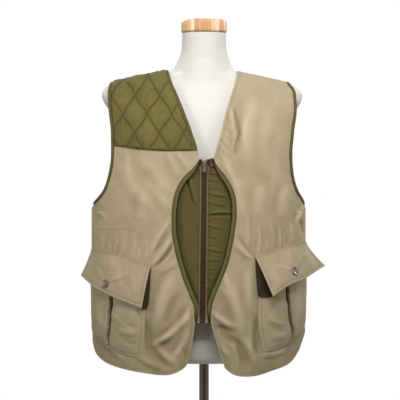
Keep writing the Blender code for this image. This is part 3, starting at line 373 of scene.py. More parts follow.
def torso():
    """Points and faces of the torso, closed by its flat foot and by the neck's top."""
    heights = np.unique(np.concatenate((
        np.linspace(TORSO_RINGS[0][0], SHOULDER_FOOT, 70), np.linspace(SHOULDER_FOOT, NECK_FOOT, 50),
        np.linspace(NECK_FOOT, TORSO_RINGS[-1][0], 14),
    )))
    angles = np.linspace(0, 2 * math.pi, 193)[:-1]
    right, left, front, back = [read(TORSO_RINGS, k, heights)[:, None] for k in (1, 2, 3, 4)]
    side_share = (1 + np.tanh(6 * np.cos(angles))) / 2
    depth_share = (1 + np.tanh(6 * np.sin(angles))) / 2
    reach = right * (1 - side_share) + left * side_share
    depth = front * (1 - depth_share) + back * depth_share
    x = reach * np.cos(angles)
    y = depth * np.sin(angles)
    # The neck's round column runs on down and meets the chest and the shoulders softly.
    flare = np.clip((COLUMN_TOP - heights) / 0.085, 0.0, 1.0)[:, None] ** 1.5
    column = COLUMN_RADIUS + COLUMN_FLARE * flare
    column = np.sqrt(np.maximum(column ** 2 - x ** 2, 0.0))
    soft = 0.0002 + JOIN_WIDTH * np.clip((JOIN_TOP - heights) / 0.045, 0.0, 1.0)[:, None]
    soft = soft * np.where(np.sin(angles) < 0, JOIN_IN_FRONT, 1.0)
    meet = np.clip(1.0 - np.abs(column - np.abs(y)) / soft, 0.0, 1.0) ** 2 * soft / 4
    y = np.sign(y) * (np.maximum(column, np.abs(y)) + meet * np.abs(np.sin(angles)))
    rings = np.stack((x, y, heights[:, None] + 0 * x), -1)
    points = rings.reshape(-1, 3)
    rows, cols = rings.shape[:2]
    index = np.arange(rows * cols).reshape(rows, cols)
    ahead = np.roll(index, -1, axis=1)
    faces = np.stack((index[:-1], ahead[:-1], ahead[1:], index[1:]), -1).reshape(-1, 4).tolist()
    return points, faces + [index[0][::-1].tolist(), index[-1].tolist()]


jersey = Finish("white_cotton_jersey")
place = jersey.node("ShaderNodeTexCoord", out=3)
ribs = jersey.node("ShaderNodeMapping", None, {"Vector": place, "Scale": (1.0, 1.0, 0.12)})
knit = jersey.node("ShaderNodeTexVoronoi", None, {"Vector": ribs, "Scale": 900.0})
tone = jersey.node("ShaderNodeTexNoise", None, {"Vector": place, "Scale": 14.0, "Detail": 4.0})
height = jersey.node("ShaderNodeBump", None, {"Strength": 0.35, "Distance": 0.00025, "Height": knit + tone})
jersey.surface(
    Base_Color=jersey.mix(tone, (0.615, 0.597, 0.560), (0.665, 0.647, 0.610)),
    Roughness=0.86 + knit * 0.1, Normal=height,
)
finished("jersey_torso", *torso(), jersey.material, "form_torso", "white_jersey", 50)

# The two fronts: tan cotton poplin, cut as one piece each from shoulder to hem and joined to
# the back at the shoulder and under the arm. Their lower edges are turned twice and stitched.
# They hang from the shoulders, meet only at the zip, and drag towards the pockets' weight.
CLOTH = 0.0015
SEAM_GAP = 0.0003
BINDING_GAP = 0.0005
POUCH_TAPE_WIDTH = 0.0098
VEST_X = -0.0125
ROUNDING = 2.4
YOKE = 1.190
ARMPIT = 1.1205
SHOULDER_Y = 0.004
ZIP_TOP = 1.2290
ZIP_FOOT = 0.8630
OVAL_FADE = 0.030
HEM_CORNER_TOP = 0.893
V_EDGE_FOOT = 1.232
PUCKER_LENGTH = 0.0105

# Columns: height, half width, front depth, back depth
GARMENT_RINGS = (
    (0.700, 0.2360, 0.150, 0.124),
    (0.800, 0.2405, 0.150, 0.124),
    (0.850, 0.2430, 0.149, 0.123),
    (0.950, 0.2445, 0.147, 0.122),
    (1.050, 0.2450, 0.145, 0.122),
    (1.130, 0.2450, 0.142, 0.124),
    (1.200, 0.2440, 0.137, 0.127),
)
# Columns: x, height of the shoulder seam
SHOULDERS = (
    (-0.2500, 1.4000),
    (-0.2139, 1.4085),
    (-0.0830, 1.4345),
    (-0.0500, 1.4375),
    (0.0500, 1.4375),
    (0.0770, 1.4335),
    (0.1932, 1.4085),
    (0.2300, 1.3960),
)
# Columns: height, x of the right front's edge, x of the left front's edge
FRONT_EDGES = (
    (1.4400, -0.0832, 0.0785),
    (1.4051, -0.0726, 0.0700),
    (1.3688, -0.0567, 0.0587),
    (1.3281, -0.0409, 0.0470),
    (1.2919, -0.0273, 0.0390),
    (1.2557, -0.0155, 0.0285),
    (1.2300, -0.0112, 0.0215),
    (1.2100, -0.0178, 0.0265),
    (1.1830, -0.0405, 0.0438),
    (1.1600, -0.0530, 0.0555),
    (1.1369, -0.0592, 0.0614),
    (1.1061, -0.0627, 0.0628),
    (1.0701, -0.0624, 0.0590),
    (1.0317, -0.0564, 0.0522),
    (0.9933, -0.0472, 0.0428),
    (0.9526, -0.0339, 0.0270),
    (0.9191, -0.0203, 0.0132),
    (0.8950, -0.0118, 0.0070),
    (0.8803, -0.0170, 0.0098),
    (0.8573, -0.0209, 0.0167),
    (0.8294, -0.0246, 0.0250),
    (0.8066, -0.0291, 0.0323),
    (0.7869, -0.0324, 0.0378),
    (0.7704, -0.0389, 0.0440),
)
# Columns: height, x of the right armhole seam, x of the left armhole seam
ARMHOLES = (
    (1.4150, -0.2050, 0.1840),
    (1.3990, -0.2105, 0.1930),
    (1.3850, -0.2122, 0.2020),
    (1.3496, -0.2100, 0.2040),
    (1.2944, -0.2035, 0.1970),
    (1.2392, -0.2025, 0.1920),
    (1.2024, -0.2075, 0.1940),
    (1.1840, -0.2125, 0.1975),
    (1.1656, -0.2180, 0.2030),
    (1.1500, -0.2268, 0.2105),
    (1.1380, -0.2370, 0.2195),
    (1.1280, -0.2480, 0.2265),
    (1.1205, -0.2574, 0.2324),
)
# Columns: share of the way to the side seam, hem height of the right front, of the left one
FRONT_HEMS = (
    (0.000, 0.7690, 0.7670),
    (0.010, 0.7638, 0.7615),
    (0.026, 0.7586, 0.7560),
    (0.050, 0.7530, 0.7502),
    (0.080, 0.7487, 0.7458),
    (0.115, 0.7466, 0.7434),
    (0.160, 0.7467, 0.7428),
    (0.220, 0.7490, 0.7440),
    (0.380, 0.7560, 0.7550),
    (0.560, 0.7660, 0.7680),
    (0.640, 0.7716, 0.7795),
    (0.710, 0.7780, 0.7930),
    (0.770, 0.7850, 0.8070),
    (0.830, 0.7950, 0.8215),
    (0.900, 0.8090, 0.8350),
    (1.000, 0.8280, 0.8450),
)
# Soft creases as lines seen from the front. A ridge stands out and a trough has a height
# below zero; bow bends the line sideways.
# Columns: x and height of one end, x and height of the other, half width, bow, height
CREASES = (
    # right front: drag lines from the flap's inner end up to the tape
    (-0.1180, 0.9900, -0.0700, 1.0560, 0.0052, 0.003, 0.0044),
    (-0.1060, 0.9890, -0.0680, 1.0380, 0.0042, 0.002, -0.0028),
    (-0.1250, 1.0080, -0.0700, 1.1000, 0.0060, -0.003, 0.0034),
    (-0.1120, 1.0180, -0.0680, 1.0740, 0.0044, 0.000, -0.0020),
    (-0.1000, 0.9780, -0.0620, 1.0000, 0.0070, 0.002, 0.0020),
    (-0.1160, 0.9885, -0.0620, 0.9795, 0.0013, -0.001, -0.0009),
    # right front: gathers over the flap's seam
    (-0.2320, 1.0220, -0.2280, 1.0560, 0.0034, 0.001, 0.0010),
    (-0.2150, 1.0180, -0.2120, 1.0400, 0.0030, 0.001, 0.0016),
    (-0.2040, 1.0160, -0.1980, 1.0560, 0.0036, 0.002, 0.0014),
    (-0.1960, 1.0120, -0.1940, 1.0380, 0.0026, 0.000, -0.0014),
    (-0.1870, 1.0120, -0.1780, 1.0700, 0.0048, 0.003, 0.0010),
    (-0.1650, 1.0070, -0.1560, 1.0600, 0.0050, 0.004, 0.0013),
    (-0.1480, 1.0030, -0.1450, 1.0340, 0.0032, 0.001, 0.0014),
    (-0.1350, 0.9980, -0.1280, 1.0300, 0.0034, 0.001, 0.0016),
    # right front: pressed line, chest and armhole
    (-0.2440, 1.0740, -0.1480, 1.0780, 0.0016, 0.000, 0.0009),
    (-0.2480, 1.1260, -0.2180, 1.1080, 0.0050, 0.000, -0.0012),
    (-0.2440, 1.1160, -0.2200, 1.0960, 0.0055, 0.001, 0.0010),
    (-0.1900, 1.2300, -0.1150, 1.1200, 0.0150, 0.010, 0.0018),
    (-0.1500, 1.2350, -0.0750, 1.1500, 0.0130, -0.006, 0.0016),
    (-0.0620, 1.2460, -0.0300, 1.2060, 0.0060, 0.002, 0.0024),
    (-0.0800, 1.2440, -0.0560, 1.1900, 0.0080, 0.002, 0.0018),
    (-0.1100, 1.1700, -0.0720, 1.1150, 0.0120, 0.004, 0.0020),
    (-0.1720, 1.2440, -0.1700, 1.1900, 0.0080, 0.002, 0.0016),
    (-0.1340, 1.1500, -0.1420, 1.0900, 0.0110, 0.003, 0.0018),
    # right front: falls to the lower edge
    (-0.0300, 0.8900, -0.0980, 0.8180, 0.0095, -0.008, 0.0078),
    (-0.0440, 0.8640, -0.1080, 0.8020, 0.0085, -0.005, -0.0062),
    (-0.0340, 0.8500, -0.0700, 0.7820, 0.0080, -0.004, 0.0046),
    (-0.0700, 0.9700, -0.1060, 0.8600, 0.0130, 0.006, 0.0042),
    (-0.0560, 0.9300, -0.0880, 0.8600, 0.0090, 0.003, -0.0030),
    (-0.1280, 0.8700, -0.1240, 0.7900, 0.0080, 0.000, -0.0050),
    (-0.1120, 0.8200, -0.0600, 0.7700, 0.0085, 0.004, 0.0044),
    (-0.0480, 0.8120, -0.0380, 0.7800, 0.0060, 0.000, -0.0026),
    (-0.1500, 0.7900, -0.0950, 0.7640, 0.0070, 0.003, 0.0024),
    (-0.2250, 0.8240, -0.1800, 0.7800, 0.0080, 0.002, 0.0024),
    # left front: chest fold and falls from the V
    (0.0680, 1.3480, 0.0820, 1.2800, 0.0046, 0.001, -0.0034),
    (0.0830, 1.2960, 0.0700, 1.2380, 0.0044, 0.002, -0.0026),
    (0.0600, 1.3440, 0.0730, 1.2600, 0.0050, 0.002, 0.0026),
    (0.0960, 1.3300, 0.0920, 1.2500, 0.0080, 0.004, 0.0022),
    (0.0450, 1.3120, 0.0620, 1.2940, 0.0036, 0.000, 0.0022),
    (0.0410, 1.2960, 0.0580, 1.2760, 0.0034, 0.001, 0.0028),
    (0.0380, 1.2820, 0.0560, 1.2580, 0.0038, 0.000, 0.0030),
    (0.0340, 1.2660, 0.0520, 1.2400, 0.0034, 0.001, 0.0030),
    (0.0310, 1.2540, 0.0480, 1.2240, 0.0036, 0.001, 0.0026),
    (0.1120, 1.3700, 0.1000, 1.2200, 0.0170, 0.008, 0.0028),
    (0.1500, 1.3500, 0.1450, 1.1900, 0.0160, 0.006, 0.0018),
    (0.1760, 1.3000, 0.1650, 1.1600, 0.0140, 0.006, 0.0016),
    (0.0450, 1.2300, 0.0780, 1.1600, 0.0090, 0.002, 0.0036),
    (0.0700, 1.1800, 0.0900, 1.1000, 0.0130, 0.004, 0.0028),
    (0.1300, 1.1700, 0.1240, 1.1000, 0.0130, 0.004, 0.0024),
    (0.1900, 1.1700, 0.1780, 1.1000, 0.0120, 0.004, 0.0026),
    # left front: gathers over the flap's seam
    (0.0980, 1.0200, 0.0975, 1.1050, 0.0042, 0.002, 0.0020),
    (0.1160, 1.0180, 0.1190, 1.0520, 0.0030, 0.000, -0.0014),
    (0.1250, 1.0200, 0.1240, 1.0780, 0.0038, 0.002, 0.0019),
    (0.1420, 1.0240, 0.1440, 1.0520, 0.0030, 0.001, 0.0013),
    (0.1560, 1.0260, 0.1500, 1.0900, 0.0046, 0.003, 0.0014),
    (0.1720, 1.0300, 0.1680, 1.0820, 0.0036, 0.002, 0.0020),
    (0.1860, 1.0360, 0.1880, 1.0560, 0.0028, 0.000, -0.0014),
    (0.1980, 1.0400, 0.1950, 1.0860, 0.0038, 0.002, 0.0020),
    (0.2260, 1.1220, 0.2120, 1.0860, 0.0052, 0.003, 0.0040),
    (0.2160, 1.0940, 0.2260, 1.0560, 0.0056, -0.002, -0.0032),
    (0.0760, 1.0580, 0.1160, 1.0060, 0.0046, 0.003, -0.0030),
    (0.0700, 1.0400, 0.1080, 1.0060, 0.0060, 0.002, 0.0028),
    (0.1150, 1.0100, 0.0680, 0.9990, 0.0013, 0.001, -0.0009),
    # left front: falls to the lower edge
    (0.0140, 0.8900, 0.0720, 0.8520, 0.0080, 0.004, 0.0062),
    (0.0340, 0.8580, 0.0760, 0.8160, 0.0080, 0.005, -0.0046),
    (0.0230, 0.8450, 0.0560, 0.7860, 0.0075, 0.003, 0.0044),
    (0.0500, 0.9500, 0.0900, 0.8300, 0.0140, -0.005, 0.0050),
    (0.0420, 0.9750, 0.0560, 0.9400, 0.0060, 0.000, 0.0032),
    (0.1180, 0.8800, 0.1140, 0.7850, 0.0080, 0.000, -0.0046),
    (0.0860, 0.8300, 0.1150, 0.7700, 0.0090, -0.004, 0.0046),
    (0.0740, 0.8260, 0.0900, 0.7660, 0.0070, 0.000, -0.0040),
    (0.1300, 0.7900, 0.1800, 0.7980, 0.0070, 0.002, 0.0024),
    (0.0980, 0.9800, 0.1060, 0.8900, 0.0110, 0.003, 0.0034),
)


def signed(value, power):
    return np.sign(value) * np.abs(value) ** power


def angle_at(x, height):
    """Ring angle of a place across: 0 at the right side, pi at the left side."""
    reach = np.clip((VEST_X - x) / read(GARMENT_RINGS, 1, height), -1.0, 1.0)
    return np.arccos(signed(reach, ROUNDING / 2))


def x_at(angle, height):
    return VEST_X - read(GARMENT_RINGS, 1, height) * signed(np.cos(angle), 2 / ROUNDING)


def ring_points(face, angle, height):
    """Points of the surface under the yoke level; face is -1 in front and 1 behind."""
    depth = read(GARMENT_RINGS, 2 if face < 0 else 3, height)
    y = face * depth * np.maximum(np.sin(angle), 0.0) ** (2 / ROUNDING)
    return np.stack(np.broadcast_arrays(x_at(angle, height), y, height), -1)


def yoke_points(face, x, share):
    """Points of the yoke: share 0 on the shoulder seam, 1 at the yoke level."""
    seam = read(SHOULDERS, 1, x)
    below = ring_points(face, angle_at(x, YOKE), np.full(np.shape(x), YOKE))[..., 1]
    swell = np.sin(math.pi / 2 * share ** (0.55 if face < 0 else 0.45))
    y = SHOULDER_Y + (below - SHOULDER_Y) * swell
    return np.stack(np.broadcast_arrays(x, y, seam + (YOKE - seam) * share), -1)


def tape_share(height):
    """Share of the pouch tape's full width, which runs out at both ends of the oval."""
    half = (ZIP_TOP - ZIP_FOOT) / 2
    share = np.minimum(1.0, np.abs(height - (ZIP_TOP + ZIP_FOOT) / 2) / half)
    return np.minimum(1.0, (1.0 - share) * half / OVAL_FADE)


def front_edge_x(side, height):
    """x of a front's seam line: behind the finished edge by the tape's width at the oval."""
    back = (POUCH_TAPE_WIDTH + BINDING_GAP) * tape_share(height)
    return read(FRONT_EDGES, side, height) + (-1 if side == 1 else 1) * back


def yoke_edge(edge_x, share):
    """x of an edge where it crosses the rows of the yoke."""
    x = edge_x(np.full(len(share), 1.3))
    for _ in range(12):
        seam = read(SHOULDERS, 1, x)
        x = edge_x(seam + (YOKE - seam) * share)
    return x


def body_shares(hem_at_side):
    """Shares down from the yoke level, with one row just at the armpit."""
    armpit = (YOKE - ARMPIT) / (YOKE - hem_at_side)
    return np.concatenate((np.linspace(0, armpit, 27)[:-1], np.linspace(armpit, 1.0, 121)))


def side_angle(side, height):
    """Ring angle of a panel's outer edge: the armhole, and below it the side seam."""
    end = 0.0 if side == 1 else math.pi
    armhole = angle_at(read(ARMHOLES, side, height), height)
    return np.where(height <= ARMPIT + 1e-9, end, armhole)


YOKE_SHARES = np.linspace(0.0, 1.0, 71)[:-1] ** 1.7


def front_grid(side, columns=104):
    """The surface of one front as rows from the shoulder seam down to the hem."""
    u = np.linspace(0.0, 1.0, columns + 1)
    s = YOKE_SHARES
    start = angle_at(yoke_edge(lambda z: front_edge_x(side, z), s), YOKE)
    end = angle_at(yoke_edge(lambda z: read(ARMHOLES, side, z), s), YOKE)
    angles = start[:, None] + (end - start)[:, None] * u
    upper = yoke_points(-1, x_at(angles, YOKE), s[:, None])
    hem = read(FRONT_HEMS, side, u)
    t = body_shares(hem[-1])
    edge_height = YOKE + (hem[0] - YOKE) * t
    side_height = YOKE + (hem[-1] - YOKE) * t
    start = angle_at(front_edge_x(side, edge_height), edge_height)
    end = side_angle(side, side_height)
    angles = start[:, None] + (end - start)[:, None] * u
    lower = ring_points(-1, angles, YOKE + (hem - YOKE) * t[:, None])
    return np.concatenate((upper, lower))


def grid_normals(points, face):
    """Unit normals of a grid of points, pointing out of the garment."""
    normals = np.cross(np.gradient(points, axis=1), np.gradient(points, axis=0))
    normals /= np.maximum(np.linalg.norm(normals, axis=2, keepdims=True), 1e-12)
    if normals[points.shape[0] // 2, points.shape[1] // 2, 1] * face < 0:
        normals = -normals
    return normals


def creased(points, table):
    """Height of a table's creases at each point of a grid."""
    x = points[..., 0]
    z = points[..., 2]
    total = np.zeros(x.shape)
    for x1, z1, x2, z2, width, bow, height in table:
        length = math.hypot(x2 - x1, z2 - z1)
        ux = (x2 - x1) / length
        uz = (z2 - z1) / length
        along = ((x - x1) * ux + (z - z1) * uz) / length
        sideways = (x - x1) * uz - (z - z1) * ux - bow * np.sin(math.pi * np.clip(along, 0, 1))
        fade = np.clip((along + 0.12) / 0.38, 0, 1) * np.clip((1.12 - along) / 0.38, 0, 1)
        fade = fade * fade * (3 - 2 * fade)
        lean = np.exp(-((sideways - 1.45 * width) / (0.75 * width)) ** 2)
        total += height * fade * (np.exp(-(sideways / width) ** 2) - 0.50 * lean)
    return total


def uneven(points, size, height, seed, long=0.7):
    """Soft unevenness of hanging cloth; long below 1 draws it out downwards."""
    flat = points.reshape(-1, 3)
    found = [noise.noise(Vector((p[0] / size + seed, p[1] / size, p[2] / size * long))) for p in flat]
    return np.array(found).reshape(points.shape[:2]) * height


def distance_to(points, lines):
    """Distance from each point of a grid to the nearest point of some edges."""
    edge = np.concatenate(lines)
    tree = KDTree(len(edge))
    for k, point in enumerate(edge):
        tree.insert(point, k)
    tree.balance()
    return np.array([tree.find(p)[2] for p in points.reshape(-1, 3)]).reshape(points.shape[:2])


def hemmed(points, edge, width=0.0072, lift=0.0006, pucker=0.00050):
    """Extra height near a turned and stitched edge: its double fold and small puckers."""
    fold = lift * (0.5 - 0.5 * np.tanh((edge - width) / 0.0012))
    along = (points[..., 0] * 0.9 + points[..., 2]) * 2 * math.pi / PUCKER_LENGTH
    wave = np.sin(along + 3 * np.sin(points[..., 2] * 61))
    return fold + pucker * wave * np.exp(-((edge - width) / 0.0045) ** 2)


def grid_quads(rows, cols):
    """Faces of a grid of points that are counted row by row."""
    index = np.arange(rows * cols).reshape(rows, cols)
    return np.stack((index[:-1, :-1], index[:-1, 1:], index[1:, 1:], index[1:, :-1]), -1).reshape(-1, 4)


def lay_threads(item, places):
    """Gives each corner of a piece its point's place across and along the threads."""
    layer = item.data.uv_layers.new(name="threads")
    corners = np.zeros(len(item.data.loops), dtype=int)
    item.data.loops.foreach_get("vertex_index", corners)
    layer.data.foreach_set("uv", places[corners].ravel())


def cloth(name, points, normals, thickness, finish, node, slot, marks=None):
    """A thin closed wall of cloth on both sides of a grid, with its threads' coordinates."""
    rows, cols = points.shape[:2]
    count = rows * cols
    both = np.concatenate((
        (points + normals * thickness / 2).reshape(-1, 3), (points - normals * thickness / 2).reshape(-1, 3),
    ))
    index = np.arange(count).reshape(rows, cols)
    quads = grid_quads(rows, cols)
    i, j = rows // 2, cols // 2
    turn = np.cross(points[i, j + 1] - points[i, j], points[i + 1, j] - points[i, j])
    rim = np.concatenate((index[0], index[1:, -1], index[-1, -2::-1], index[-2:0:-1, 0]))
    ahead = np.roll(rim, -1)
    walls = np.stack((rim, rim + count, ahead + count, ahead), -1)
    if np.dot(turn, normals[i, j]) < 0:
        quads = quads[:, ::-1]
        walls = walls[:, ::-1]
    faces = np.concatenate((quads, quads[:, ::-1] + count, walls))
    item = finished(name, both, faces, finish, node, slot, 60)
    across = np.linalg.norm(np.diff(points, axis=1, prepend=points[:, :1]), axis=2).cumsum(axis=1)
    down = np.linalg.norm(np.diff(points, axis=0, prepend=points[:1]), axis=2).cumsum(axis=0)
    lay_threads(item, np.tile(np.stack((across, down), -1).reshape(-1, 2), (2, 1)))
    for key, values in (marks or {}).items():
        mark = item.data.attributes.new(key, "FLOAT", "POINT")
        mark.data.foreach_set("value", np.tile(values.ravel(), 2))
    return item


def woven(name, pale, deep, thread=0.00055, rough=0.80, sheen=0.25, stitch=0.0066, line=0.22, worn=0.10):
    """Plain-woven cotton: crossed threads, slubs, a stitched groove along turned edges, and cloth that is
    paler at its worn edges. Its colour is painted deeper in its troughs and in the groove as painted shade,
    and paler on its ridges, partly as wear and partly as painted light."""
    weave = Finish(name)
    threads = weave.node("ShaderNodeUVMap", {"uv_map": "threads"})
    x = weave.node("ShaderNodeSeparateXYZ", None, {0: threads})
    warp = weave.node("ShaderNodeMath", {"operation": "SINE"}, {0: x * (2 * math.pi / thread)})
    weft = weave.node("ShaderNodeMath", {"operation": "SINE"}, {0: x.also(1) * (2 * math.pi / thread)})
    long = weave.node("ShaderNodeMapping", None, {"Vector": threads, "Scale": (1500.0, 70.0, 1.0)})
    wide = weave.node("ShaderNodeMapping", None, {"Vector": threads, "Scale": (60.0, 1400.0, 1.0)})
    slub = weave.node("ShaderNodeTexNoise", None, {"Vector": long, "Scale": 1.0, "Detail": 2.0})
    pick = weave.node("ShaderNodeTexNoise", None, {"Vector": wide, "Scale": 1.0, "Detail": 2.0})
    cloud = weave.node("ShaderNodeTexNoise", None, {"Vector": threads, "Scale": 17.0, "Detail": 4.0})
    rise = weave.node("ShaderNodeAttribute", {"attribute_name": "rise"}, out=2)
    edge = weave.node("ShaderNodeAttribute", {"attribute_name": "edge"}, out=2)
    off = (edge - stitch) / 0.0009
    groove = 1.0 / (1.0 + off * off)
    ends = weave.node("ShaderNodeMapRange", None, {0: edge, 1: 0.0, 2: 0.0022, 3: 1.0, 4: 0.0})
    # The crease height in the rise attribute paints the colour: painted light on the ridges, partly wear, and
    # painted shade in the troughs. The groove's darkening is painted shade.
    tone = 0.5 + (slub - 0.5) * 0.50 + (pick - 0.5) * 0.50 + (cloud - 0.5) * 0.55 + rise * 110.0
    tone = tone + ends * worn * 2.0 - groove * line
    tone = weave.node("ShaderNodeClamp", None, {0: tone})
    shade = weave.node("ShaderNodeAttribute", {"attribute_name": "shade"}, out=2)
    colour = weave.mix(shade, weave.mix(tone, deep, pale), (0.022, 0.014, 0.007))
    lump = (warp * weft) * 0.5 + slub * 1.2 + pick * 1.0 - groove * 2.4
    height = weave.node("ShaderNodeBump", None, {"Strength": 0.55, "Distance": 0.00022, "Height": lump})
    weave.surface(
        Base_Color=colour, Roughness=rough + (cloud - 0.5) * 0.12, Normal=height,
        Sheen_Weight=sheen, Sheen_Roughness=0.45, Specular_IOR_Level=0.16,
    )
    return weave.material


poplin = woven("tan_poplin_weave", (0.530, 0.440, 0.298), (0.270, 0.212, 0.122), sheen=0.06, line=0.40)

fronts = {}
for side_index, side in ((1, "right"), (2, "left")):
    base = front_grid(side_index)
    base[0, :, 1] -= SEAM_GAP
    heights = base[..., 2]
    side_rows = heights[:, -1] <= ARMPIT + 1e-6
    base[side_rows, -1, 1] = -SEAM_GAP * 0.6
    normals = grid_normals(base, -1)
    row_heights = heights[:, 0]
    turned_edge = row_heights < HEM_CORNER_TOP
    if side == "left":
        turned_edge = turned_edge | (row_heights > V_EDGE_FOOT)
    edges = [base[-1], base[turned_edge, 0]]
    edge = distance_to(base, edges)
    held = np.minimum(distance_to(base, [base[0], base[side_rows, -1]]) / 0.025, 1.0)
    held *= np.minimum(distance_to(base, [base[:, 0]]) / 0.010, 1.0) * 0.75 + 0.25
    rise = creased(base, CREASES) * held
    low = np.clip((1.10 - base[..., 2]) / 0.20, 0.25, 1.0)
    rise += uneven(base, 0.045, 0.0024, side_index * 7.0, 0.40) * held * low
    rise += uneven(base, 0.018, 0.0008, side_index * 3.0, 0.45) * held * low
    # Near the zip's foot the inner front lies close behind, so no trough goes deep there.
    room = np.maximum(0.0, 0.860 - base[..., 2]) * 0.8 + np.maximum(0.0, base[..., 2] - 0.90) * 0.3
    room += np.maximum(0.0, np.abs(base[..., 0] + 0.001) - 0.040) * 0.5
    rise = np.maximum(rise, -0.0005 - room)
    surface = base + normals * (rise + hemmed(base, edge))[..., None]
    outward = grid_normals(surface, -1)
    fronts[side] = (surface, outward, base, normals)
    # Below 0.945 m the colour is painted darker towards the hem, as painted shade.
    panel = cloth(
        "poplin_front_" + side, surface, outward, CLOTH, poplin, "front_" + side, "tan_poplin",
        {"rise": rise - 0.0020 * np.clip((0.945 - base[..., 2]) / 0.09, 0.0, 1.0), "edge": edge},
    )

# The back: one whole piece of the same poplin from the neck to the hem, joined to both fronts.
# It hangs freely from the shoulder blades in long soft falls.
BACK_NECK_X = -0.0028
BACK_NECK_HALF = 0.0785
BACK_NECK_DROP = 0.085
# Columns: share of the way from the right side seam to the left one, height of the hem
BACK_HEM = (
    (0.00, 0.828),
    (0.12, 0.800),
    (0.28, 0.784),
    (0.50, 0.778),
    (0.72, 0.786),
    (0.88, 0.808),
    (1.00, 0.845),
)
# Columns: x and height of one end, x and height of the other, half width, bow, height
BACK_CREASES = (
    (-0.180, 1.170, -0.165, 0.850, 0.0150, 0.006, 0.0042),
    (-0.150, 1.020, -0.130, 0.860, 0.0120, 0.004, -0.0026),
    (-0.085, 1.060, -0.075, 0.800, 0.0150, 0.005, 0.0036),
    (-0.045, 1.220, -0.030, 0.880, 0.0140, 0.004, -0.0022),
    (0.020, 1.180, 0.010, 0.820, 0.0170, -0.005, 0.0040),
    (0.062, 1.010, 0.055, 0.830, 0.0120, -0.004, -0.0024),
    (0.105, 1.110, 0.098, 0.790, 0.0150, -0.004, 0.0036),
    (0.182, 1.200, 0.165, 0.860, 0.0150, -0.006, 0.0042),
    (-0.150, 1.330, -0.080, 1.240, 0.0150, 0.006, 0.0016),
    (0.140, 1.330, 0.075, 1.240, 0.0150, -0.006, 0.0016),
    (-0.060, 1.330, 0.055, 1.325, 0.0120, 0.004, 0.0012),
    (-0.225, 1.110, -0.160, 1.080, 0.0080, 0.002, -0.0018),
    (0.200, 1.110, 0.145, 1.085, 0.0080, 0.002, -0.0018),
    (-0.120, 1.010, 0.060, 1.000, 0.0100, 0.004, 0.0012),
)


def back_grid(columns=150):
    """The surface of the back as rows from the shoulder seams and neck down to the hem."""
    u = np.linspace(0.0, 1.0, columns + 1)
    s = YOKE_SHARES
    start = angle_at(yoke_edge(lambda z: read(ARMHOLES, 1, z), s), YOKE)
    end = angle_at(yoke_edge(lambda z: read(ARMHOLES, 2, z), s), YOKE)
    x = x_at(start[:, None] + (end - start)[:, None] * u, YOKE)
    aside = np.minimum(1.0, np.abs(x - BACK_NECK_X) / BACK_NECK_HALF)
    drop = BACK_NECK_DROP * np.sqrt(1.0 - aside ** 2)
    upper = yoke_points(1, x, drop + (1 - drop) * s[:, None])
    right = body_shares(float(read(FRONT_HEMS, 1, 1.0)))
    left = body_shares(float(read(FRONT_HEMS, 2, 1.0)))
    right_height = YOKE + (FRONT_HEMS[-1][1] - YOKE) * right
    left_height = YOKE + (FRONT_HEMS[-1][2] - YOKE) * left
    start = side_angle(1, right_height)
    end = side_angle(2, left_height)
    t = right[:, None] + (left - right)[:, None] * u
    heights = YOKE + (read(BACK_HEM, 1, u) - YOKE) * t
    lower = ring_points(1, start[:, None] + (end - start)[:, None] * u, heights)
    return np.concatenate((upper, lower))


base = back_grid()
base[0, :, 1] += SEAM_GAP
for col in (0, -1):
    base[base[:, col, 2] <= ARMPIT + 1e-6, col, 1] = SEAM_GAP * 0.6
normals = grid_normals(base, 1)
neck = np.abs(base[0, :, 0] - BACK_NECK_X) < BACK_NECK_HALF
edge = distance_to(base, [base[-1], base[0, neck]])
low_sides = [base[base[:, col, 2] <= ARMPIT + 1e-6, col] for col in (0, -1)]
held = np.minimum(distance_to(base, [base[0]] + low_sides) / 0.025, 1.0)
rise = creased(base, BACK_CREASES) * held + uneven(base, 0.08, 0.0024, 31.0) * held
rise += uneven(base, 0.022, 0.0005, 37.0) * held
surface = base + normals * (rise + hemmed(base, edge))[..., None]
outward = grid_normals(surface, 1)
back = (surface, outward, base, normals)
panel = cloth(
    "poplin_back", surface, outward, CLOTH, poplin, "back", "tan_poplin", {"rise": rise, "edge": edge},
)

# The bindings: folded olive cotton tape, sewn over the raw edges of both armholes and of the
# two curved front edges beside the zip. It is rounded, and its stitching pulls it a little.
ARMHOLE_TAPE_WIDTH = 0.0080
TAPE_THICKNESS = 0.0028
TAPE_SIDES = 16
TAPE_ROLL = {"right": 0.15, "left": 0.55}
olive_tape = woven(
    "olive_bias_tape", (0.185, 0.152, 0.055), (0.070, 0.056, 0.018), thread=0.00050, rough=0.82,
    sheen=0.06, stitch=0.0016, line=0.45, worn=0.0,
)


def lengths_along(line):
    """Length from the start of a line to each of its points."""
    return np.concatenate(([0.0], np.linalg.norm(np.diff(line, axis=0), axis=1).cumsum()))


